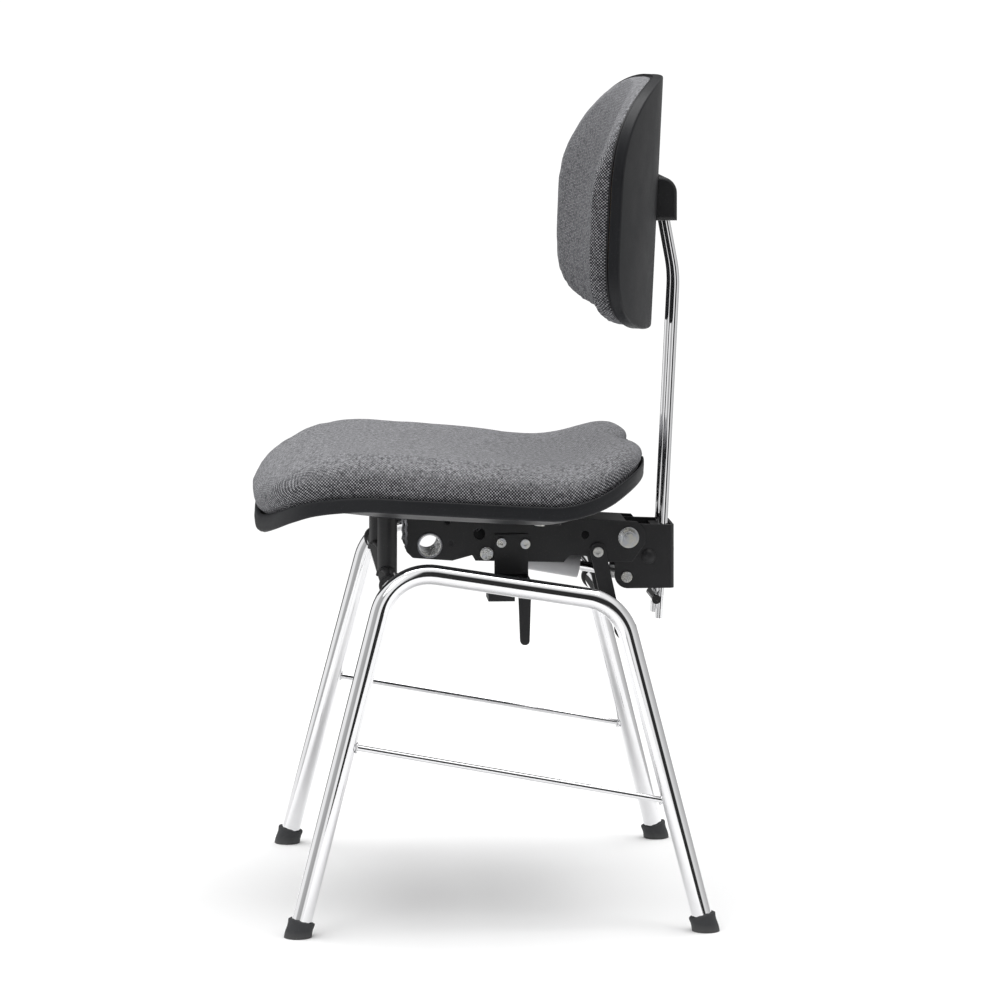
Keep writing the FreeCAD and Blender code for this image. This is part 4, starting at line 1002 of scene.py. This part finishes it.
class CHAIR_OT_back_shell(bpy.types.Operator):
    """Build the backrest's moulded shell."""

    bl_idname = "chair.back_shell"
    bl_label = "Backrest shell"

    def execute(self, context):
        grid = turned(back_shell_grid(context.scene.chair_back), BACK_LEAN, BACK_ORIGIN)
        shell = closed_mesh("backrest_moulded_shell", [(grid, False)])
        settle(shell, "back_pad", "shell", ["backrest_shell"])
        return {"FINISHED"}


# ---- feet, fittings and welds -------------------------------------------------------------------

LEGS = (
    ("front", (0.2254, -0.1837, 0.0), (0.19675, -0.0899, 0.3583)),
    ("rear", (0.2254, 0.2212, 0.0), (0.19965, 0.1383, 0.3221)),
)


# Along the leg from its toe, and radius: the sole, a fuller heel, a waist, the lip and the bore.
FOOT_PROFILE = (
    (-6, 2.0), (-6, 8.0), (-6, 12.2), (-4.5, 13.2), (-1, 13.5), (2, 13.55), (5, 13.3), (8, 12.95),
    (11, 12.95), (13.5, 13.25), (15.2, 13.5), (16.3, 13.35), (16.9, 12.6), (17.0, 11.2),
    (16.5, 10.15), (14, 10.1), (11, 10.1), (7, 10.1), (6.6, 8.0), (6.6, 2.0),
)
LIP_START, LIP_HEIGHT = 11, 6


def foot_grid(toe, top, count=64):
    """A rubber cap round a leg: the foot's profile turned about the leg's line, with its lip raised
    and lowered by 0.35 cos 3t + 0.25 cos (7t + 1) - 0.6 mm, and its sole cut level with the floor."""
    toe, top = np.array(toe), np.array(top)
    axis = (top - toe) / np.linalg.norm(top - toe)
    grid = turned_profile(np.array(FOOT_PROFILE) * MM, toe, axis, count)
    t = np.linspace(0, 2 * np.pi, count, endpoint=False)
    height = np.array(FOOT_PROFILE)[:, 0]
    wave = 0.35 * np.cos(3 * t) + 0.25 * np.cos(7 * t + 1) - 0.6
    lip = np.clip((height - LIP_START) / LIP_HEIGHT, 0, 1)[:, None] * wave
    grid = grid + (lip * MM)[:, :, None] * axis
    # what is below the floor slides up along the leg's line until it is level with the floor
    level = np.maximum(grid[:, :, 2], 0.0)
    slip = (level - grid[:, :, 2])[:, :, None] * (axis / axis[2])
    return grid + slip


class CHAIR_OT_feet(bpy.types.Operator):
    """Build the four rubber feet."""

    bl_idname = "chair.feet"
    bl_label = "Rubber feet"

    def execute(self, context):
        mirror = np.array([-1.0, 1.0, 1.0])
        for end, toe, top in LEGS:
            grid = foot_grid(toe, top)
            for side, turned_grid in (("left", grid), ("right", grid * mirror)):
                foot = closed_mesh("%s_%s_rubber_cap" % (end, side), [(turned_grid, False)])
                settle(foot, "base", "rubber", ["%s_%s_foot" % (end, side)])
        return {"FINISHED"}


def bead(path, radius, ripple=0.22, pitch=0.0016, seed=1):
    """A weld bead along a path: its radius swells with each puddle, r (1 + a sin(2 pi s / pitch)),
    and wanders a little."""
    path = np.asarray(path, float)
    gone = np.concatenate([[0], np.cumsum(np.linalg.norm(np.diff(path, axis=0), axis=1))])
    wander = np.random.default_rng(seed).normal(0, 0.06, len(path))
    swell = radius * (1 + ripple * np.sin(2 * np.pi * gone / pitch) + wander)
    ends = np.clip(np.minimum(gone, gone[-1] - gone) / (2 * radius), 0.25, 1) ** 0.5
    return swept(path, swell * ends, 10)


def ring_path(centre, axis, radius, start=0.0, end=2 * math.pi, count=90):
    """Points on a circle about an axis."""
    axis = np.array(axis, float) / np.linalg.norm(axis)
    side = np.cross(axis, (0.0, 0.0, 1.0) if abs(axis[2]) < 0.9 else (0.0, 1.0, 0.0))
    side /= np.linalg.norm(side)
    over = np.cross(axis, side)
    t = np.linspace(start, end, count)
    return np.array(centre) + radius * (np.cos(t)[:, None] * side + np.sin(t)[:, None] * over)


def saddle_path(x, y, post_radius, bar_y, bar_z, bar_radius, count=140):
    """Where an upright post meets a round bar lying along X: z = bar z + sqrt(R^2 - (y - bar y)^2)."""
    t = np.linspace(0, 2 * np.pi, count)
    px, py = x + post_radius * np.cos(t), y + post_radius * np.sin(t)
    inside = np.clip(bar_radius ** 2 - (py - bar_y) ** 2, 0, None)
    return np.stack([px, py, bar_z + np.sqrt(inside)], 1)


# Places of the welds, in metres: the cross bars' axes as (y, z), and the radii of bars and posts.
FRONT_BAR = (-0.0903, 0.338)
REAR_BAR = (0.1456, 0.293)
BAR_RADIUS = 0.0091
BAR_END = 0.1845
POST_PLACE = (0.100, -0.0895)
POST_RADIUS = 0.0102
THROUGH_TUBE = (-0.0425, 0.358)
THROUGH_TUBE_RADIUS = 0.0123
CHANNEL_WELD = (0.3535, 0.391)


class CHAIR_OT_welds(bpy.types.Operator):
    """Lay the weld beads: on the channel's front, at the posts and at the bars' ends."""

    bl_idname = "chair.welds"
    bl_label = "Weld beads"

    def execute(self, context):
        front = []
        low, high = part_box("mechanism_channel")
        count = 60
        for side in (-1, 1):
            x = side * (high.x - 0.0012)
            z = np.linspace(*CHANNEL_WELD, count)
            y = np.full(count, low.y + 0.0004) + 0.0004 * np.sin(z * 700)
            front.append((bead(np.stack([np.full(count, x), y, z], 1), 0.0016, seed=3 + side), False))
            rim = ring_path((side * (high.x + 0.0002), *THROUGH_TUBE), (1, 0, 0), THROUGH_TUBE_RADIUS)
            front.append((bead(rim, 0.0009, seed=7 + side), False))
        streaks = closed_mesh("channel_weld_beads", front)
        settle(streaks, "base", "bead")

        dark = []
        for side in (-1, 1):
            x, y = POST_PLACE
            post = saddle_path(side * x, y, POST_RADIUS, *FRONT_BAR, BAR_RADIUS)
            dark.append((bead(post, 0.0012, seed=11 + side), False))
            for bar in (FRONT_BAR, REAR_BAR):
                rim = ring_path((side * BAR_END, *bar), (1, 0, 0), BAR_RADIUS + 0.0002)
                dark.append((bead(rim, 0.0010, seed=17 + side), False))
        joints = closed_mesh("frame_weld_beads", dark)
        settle(joints, "base", "painted")

        bright = []
        for name in ("left_stretcher_rod", "right_stretcher_rod"):
            low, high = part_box(name)
            x = (low.x + high.x) / 2
            for y, z in ((low.y + 0.0011, high.z - 0.003), (high.y - 0.0011, low.z + 0.003)):
                rim = ring_path((x, y, z), (0, 1, -0.15), 0.0044)
                bright.append((bead(rim, 0.0011, 0.08), False))
        collars = closed_mesh("stretcher_weld_collars", bright)
        settle(collars, "base", "bar")
        return {"FINISHED"}


LEVER_PIN = (0.080, 0.0418, 0.3155)
SPRING_RADIUS = 0.0046
SPRING_TURNS = 3.4
SPRING_PITCH = 0.00078 * 1.1
# Outwards from the carrier's cheek, and radius: the plug, the flange, the groove and the dome.
CAP_PROFILE = (
    (-4.0, 1.0), (-4.0, 3.9), (-0.1, 3.95), (0.0, 7.2), (0.15, 7.8), (0.8, 7.9), (1.3, 7.5),
    (1.35, 6.9), (2.2, 6.3), (3.1, 5.2), (3.8, 3.9), (4.25, 2.4), (4.45, 0.8),
)
CAP_REACH = 0.029


class CHAIR_OT_fittings(bpy.types.Operator):
    """Build the lever's coil spring and the domed side caps."""

    bl_idname = "chair.fittings"
    bl_label = "Small fittings"

    def execute(self, context):
        turn = np.linspace(0, 2 * np.pi * SPRING_TURNS, 240)
        x, y, z = LEVER_PIN
        coil = np.stack([x + SPRING_RADIUS * np.cos(turn), y + SPRING_PITCH * turn / (2 * np.pi),
                         z + SPRING_RADIUS * np.sin(turn)], 1)
        spring = closed_mesh("lever_coil_spring", [(swept(coil, 0.00045, 8), False)])
        settle(spring, "base", "zinc", ["lever_spring"])

        domes = []
        low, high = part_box("carrier_side_caps")
        centre_y, centre_z = (low.y + high.y) / 2, (low.z + high.z) / 2
        for side in (-1, 1):
            centre = (side * CAP_REACH, centre_y, centre_z)
            domes.append((turned_profile(np.array(CAP_PROFILE) * MM, centre, (side, 0, 0)), False))
        caps = closed_mesh("carrier_domed_caps", domes)
        settle(caps, "carrier", "plastic", ["carrier_side_caps"])
        return {"FINISHED"}


CARRIED = {
    "tube": ("left_side_frame", "right_side_frame", "left_back_rod", "right_back_rod"),
    "bar": ("front_cross_bar", "rear_cross_bar", "left_stretcher_rod", "right_stretcher_rod",
            "rod_stop_bar", "gas_spring_rod"),
    "painted": ("bar_collars", "left_front_post", "right_front_post", "front_bridge_plate",
                "rear_bridge_plate", "mechanism_channel", "left_link_plate", "right_link_plate",
                "lever_bracket", "backrest_carrier"),
    "plastic": ("release_block", "release_lever", "cable_slider", "lower_rod_guide",
                "upper_rod_guide", "hinge_housing", "rod_hinge_block"),
    "wood": ("seat_board", "backrest_board"),
    "lacquer": ("gas_spring_cylinder",),
    "zinc": ("channel_through_tube", "pivot_bolt", "pivot_flange_nut", "pivot_bush",
             "spring_front_bolt", "spring_front_nut", "link_screws", "bracket_screws", "lever_pin",
             "seat_screws", "gas_spring_front_eye", "gas_spring_gland", "gas_spring_piston",
             "gas_spring_rear_eye", "spring_rear_bolt", "height_clamp_screw", "hinge_pin"),
}


class CHAIR_OT_metalwork(bpy.types.Operator):
    """Finish the frame, the mechanism and the boards."""

    bl_idname = "chair.metalwork"
    bl_label = "Frame and mechanism"

    def execute(self, context):
        nodes = frame["nodes"]
        for key, names in CARRIED.items():
            for name in names:
                dress(nodes[name], key)
        shown = {name for name, node in nodes.items() if not node.hide_render}
        missed = sorted(shown - {name for names in CARRIED.values() for name in names})
        if missed:
            raise RuntimeError("no finish for %s" % missed)
        return {"FINISHED"}


# ---- stage --------------------------------------------------------------------------------------

# Where the camera stands and looks, level, and its lens and shift.
CAMERA_PLACE = (4.454, -0.2925, 0.970)
CAMERA_AIM = (-0.9976, 0.0698, 0)
CAMERA_LENS = 154.3
CAMERA_SHIFT = (0.013, -0.547)
# The floor's reach along X and Y, in metres.
FLOOR_X = (-2.0, 1.4)
FLOOR_Y = (-1.7, 1.7)
# What the plating mirrors round the room: share of a full turn, and brightness.
ROOM_PANELS = (
    (0.0, 0.05), (0.12, 0.08), (0.14, 1.0), (0.27, 1.0), (0.30, 0.50), (0.42, 0.40), (0.44, 1.0),
    (0.485, 1.0), (0.50, 0.03), (0.61, 0.03), (0.63, 0.85), (0.75, 0.60), (0.97, 0.32),
    (0.985, 0.05),
)
ROOM_END = 0.05
WHITE = (1, 1, 1, 1)


def area_lamp(name, place, target, size, power):
    """A soft square lamp aimed at a point."""
    data = bpy.data.lights.new(name, "AREA")
    data.shape = "RECTANGLE"
    data.size = data.size_y = size
    data.energy = power
    lamp = bpy.data.objects.new(name, data)
    lamp.location = place
    lamp.rotation_euler = (Vector(target) - Vector(place)).to_track_quat("-Z", "Y").to_euler()
    bpy.context.scene.collection.objects.link(lamp)
    return lamp


class CHAIR_OT_stage(bpy.types.Operator):
    """Lay the pale floor, hang the lamps and place the camera."""

    bl_idname = "chair.stage"
    bl_label = "Floor, lamps and camera"

    def execute(self, context):
        scene = context.scene
        scene.view_settings.view_transform = "Standard"
        x, y = np.meshgrid(FLOOR_X, FLOOR_Y, indexing="ij")
        points = np.stack([x, y, np.full_like(x, -0.0002)], -1).reshape(-1, 3)
        mesh = bpy.data.meshes.new("floor")
        mesh.from_pydata(points.tolist(), [], [(0, 2, 3, 1)])
        floor = bpy.data.objects.new("floor", mesh)
        scene.collection.objects.link(floor)
        material, t, shader, spot = new_material("Pale floor", Roughness=0.9, Specular_IOR_Level=0.1)
        cloud = t.noise(spot, 3.0, 3.0)
        t.put(shader.inputs["Base Color"], t.blend(cloud, (0.93, 0.93, 0.93, 1), (0.96, 0.96, 0.96, 1)))
        floor.data.materials.append(material)

        world = bpy.data.worlds.new("studio")
        world.use_nodes = True
        scene.world = world
        w = Tree(world.node_tree)
        back = world.node_tree.nodes["Background"]
        # the plating mirrors bright and dark panels round the room and a bright ceiling, and what is
        # seen directly behind the chair is plain white
        ray = w.split(w.node("TexCoord").outputs["Generated"])
        round_about = w.math("ARCTAN2", ray[1], ray[0])
        share = w.math("ADD", w.math("DIVIDE", round_about, 2 * math.pi), 0.5)
        panels = w.node("ValToRGB", {0: share})
        ramp = panels.color_ramp
        ramp.elements.remove(ramp.elements[0])
        ramp.elements[0].position = 1.0
        ramp.elements[0].color = colour([ROOM_END] * 3)
        for position, level in ROOM_PANELS:
            ramp.elements.new(position).color = colour([level] * 3)
        room = w.blend(w.ranged(ray[2], 0.55, 0.80), panels.outputs[0], WHITE)
        seen = w.node("LightPath").outputs["Is Camera Ray"]
        w.put(back.inputs["Color"], w.blend(seen, room, WHITE))
        back.inputs["Strength"].default_value = 1.05
        area_lamp("key", (3.4, -2.4, 3.2), (0, 0, 0.4), 1.8, 30)
        area_lamp("top", (-0.4, 0.1, 3.8), (-0.4, 0.1, 0.0), 3.4, 100)

        data = bpy.data.cameras.new("camera")
        data.sensor_width = 36
        data.lens = CAMERA_LENS
        data.shift_x, data.shift_y = CAMERA_SHIFT
        data.clip_end = 60
        camera = bpy.data.objects.new("camera", data)
        camera.location = CAMERA_PLACE
        camera.rotation_euler = Vector(CAMERA_AIM).to_track_quat("-Z", "Y").to_euler()
        scene.collection.objects.link(camera)
        scene.camera = camera
        return {"FINISHED"}


PIECES = (
    CHAIR_OT_seat_cushion, CHAIR_OT_seat_shell, CHAIR_OT_back_cushion, CHAIR_OT_back_crease_shade,
    CHAIR_OT_back_shell, CHAIR_OT_feet, CHAIR_OT_welds, CHAIR_OT_fittings, CHAIR_OT_metalwork,
    CHAIR_OT_stage,
)
GROUPS = (SeatSizes, BackSizes, Finishes)


class CHAIR_PT_pieces(bpy.types.Panel):
    """Lists the chair's pieces and their sizes."""

    bl_label = "Chair"
    bl_idname = "CHAIR_PT_pieces"
    bl_space_type = "VIEW_3D"
    bl_region_type = "UI"
    bl_category = "Chair"

    def draw(self, context):
        scene = context.scene
        for group in (scene.chair_seat, scene.chair_back, scene.chair_finishes):
            box = self.layout.box()
            for name in group.bl_rna.properties.keys():
                if name not in ("rna_type", "name"):
                    box.prop(group, name)
        for piece in PIECES:
            self.layout.operator(piece.bl_idname)


def register():
    for cls in (*GROUPS, *PIECES, CHAIR_PT_pieces):
        bpy.utils.register_class(cls)
    bpy.types.Scene.chair_seat = bpy.props.PointerProperty(type=SeatSizes)
    bpy.types.Scene.chair_back = bpy.props.PointerProperty(type=BackSizes)
    bpy.types.Scene.chair_finishes = bpy.props.PointerProperty(type=Finishes)


def unregister():
    del bpy.types.Scene.chair_finishes
    del bpy.types.Scene.chair_back
    del bpy.types.Scene.chair_seat
    for cls in reversed((*GROUPS, *PIECES, CHAIR_PT_pieces)):
        bpy.utils.unregister_class(cls)


def main():
    register()
    for piece in PIECES:
        group, name = piece.bl_idname.split(".")
        getattr(getattr(bpy.ops, group), name)()


if __name__ == "__main__":
    main()
